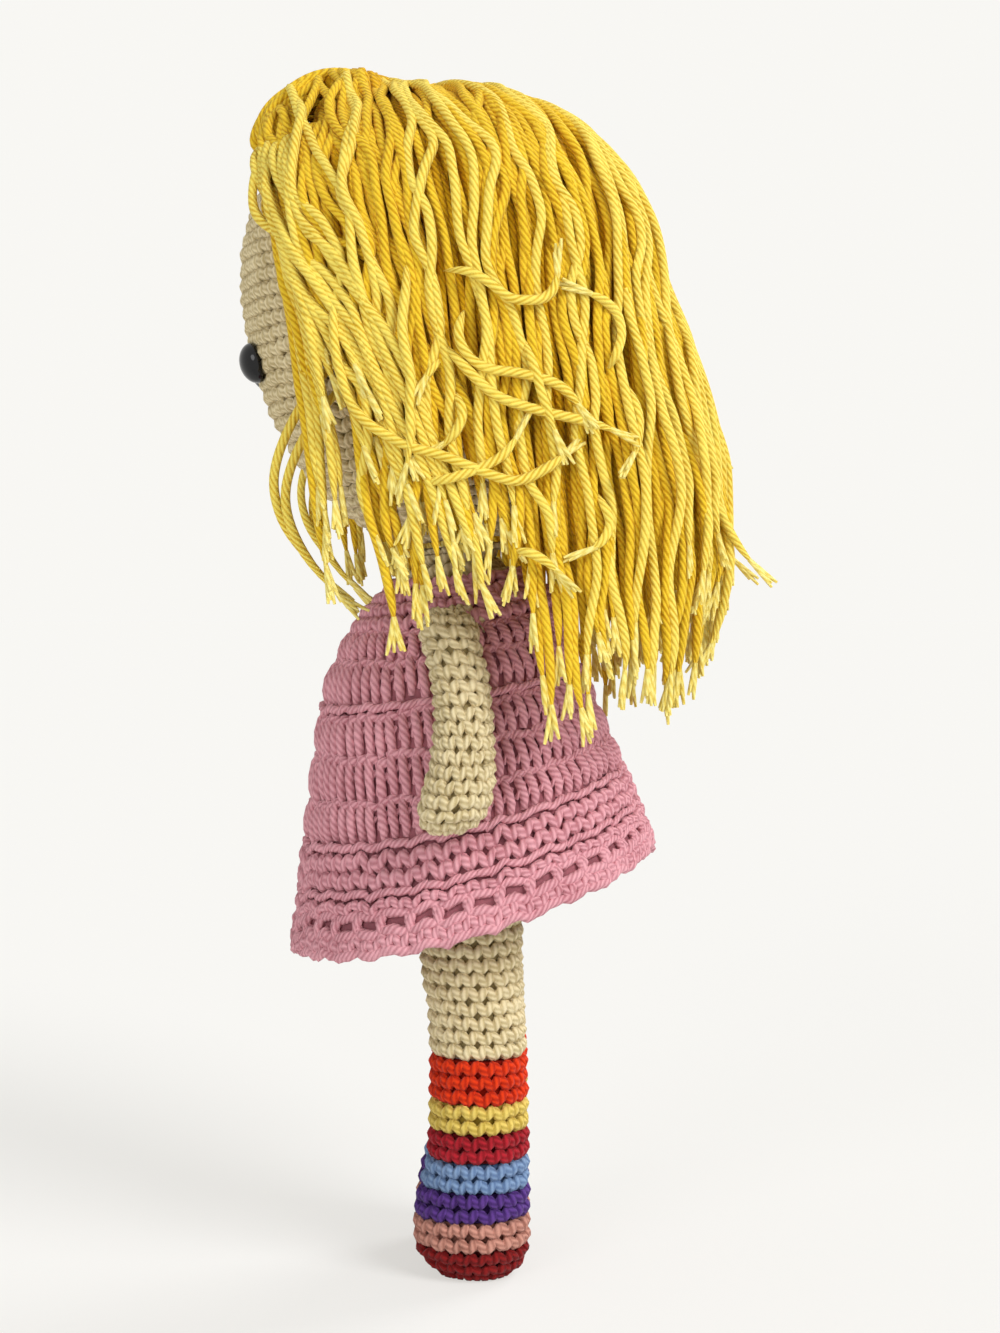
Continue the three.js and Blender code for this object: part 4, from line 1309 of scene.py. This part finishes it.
# %% Light
SKY = 0.36
LAMPS = {"key": ((0.7, 0.75, 0.8), 2.2), "fill": ((0.9, -0.5, 0.35), 0.8), "rim": ((-0.6, 0.6, 0.55), 1.4)}
LAMP_WIDTH = math.radians(30)
floor_level = SKY
for name, (place, strength) in LAMPS.items():
    light = bpy.data.lights.new(name, "SUN")
    light.energy = strength
    light.angle = LAMP_WIDTH
    lamp = bpy.data.objects.new(name, light)
    lamp.location = place
    lamp.rotation_euler = Vector(place).to_track_quat("Z", "Y").to_euler()
    scene.collection.objects.link(lamp)
    floor_level += strength * Vector(place).normalized().z / math.pi
print("light level on the floor:", round(floor_level, 3))

# %% [markdown]
# ## Floor and world
# The background is pale paper that keeps the doll's shadow. More light would bleach the doll as well, so the
# floor glows a little, only for rays that show it. Its glow is worked out from the light level: the floor
# then has the colour of the world behind it, and only the shadow shows.

# %% Floor and world
PAPER = (0.94, 0.93, 0.9)
FLOOR_SIZE = 6
FLOOR_COLOUR = 0.9
FLOOR_GLOW = 0.65


def seen_directly(tree):
    """One for rays that show the background: from the camera, in gloss and in transmission."""
    path = node_of(tree, "ShaderNodeLightPath")
    direct = math_node(tree, "MAXIMUM", path.outputs["Is Camera Ray"], path.outputs["Is Glossy Ray"])
    return math_node(tree, "MAXIMUM", direct, path.outputs["Is Transmission Ray"])


def mixed(tree, share, first, second, output):
    """Sends a mix of two shaders to an output node."""
    mix = node_of(tree, "ShaderNodeMixShader")
    link(tree, share, mix.inputs["Fac"])
    link(tree, first, mix.inputs[1])
    link(tree, second, mix.inputs[2])
    link(tree, mix.outputs["Shader"], tree.nodes[output].inputs["Surface"])


def make_floor(level):
    """A large plain floor that has the colour of paper where no shadow falls."""
    bm = bmesh.new()
    bmesh.ops.create_grid(bm, x_segments=1, y_segments=1, size=FLOOR_SIZE)
    mesh = bpy.data.meshes.new("floor")
    bm.to_mesh(mesh)
    bm.free()
    grey = (FLOOR_COLOUR, FLOOR_COLOUR, FLOOR_COLOUR, 1)
    settings = {"Base Color": grey, "Roughness": 1, "Specular IOR Level": 0}
    material, tree, shader = material_of("floor_paper", settings)
    glow = node_of(tree, "ShaderNodeEmission")
    lit = FLOOR_COLOUR * level * (1 - FLOOR_GLOW)
    glow.inputs["Color"].default_value = [(part - lit) / FLOOR_GLOW for part in PAPER] + [1]
    share = math_node(tree, "MULTIPLY", seen_directly(tree), FLOOR_GLOW)
    mixed(tree, share, shader.outputs["BSDF"], glow.outputs["Emission"], "Material Output")
    mesh.materials.append(material)
    floor = bpy.data.objects.new("floor", mesh)
    scene.collection.objects.link(floor)


def make_world():
    """Paper behind the object, and a softer level of light from all round."""
    world = bpy.data.worlds.new("studio")
    world.use_nodes = True
    tree = world.node_tree
    plain = tree.nodes["Background"]
    plain.inputs["Color"].default_value = (1, 1, 1, 1)
    plain.inputs["Strength"].default_value = SKY
    paper = node_of(tree, "ShaderNodeBackground")
    paper.inputs["Color"].default_value = PAPER + (1,)
    outputs = [node.outputs["Background"] for node in (plain, paper)]
    mixed(tree, seen_directly(tree), *outputs, "World Output")
    scene.world = world


make_floor(floor_level)
make_world()
scene.view_settings.view_transform = "Standard"
print("the floor is", 2 * FLOOR_SIZE, "m wide")
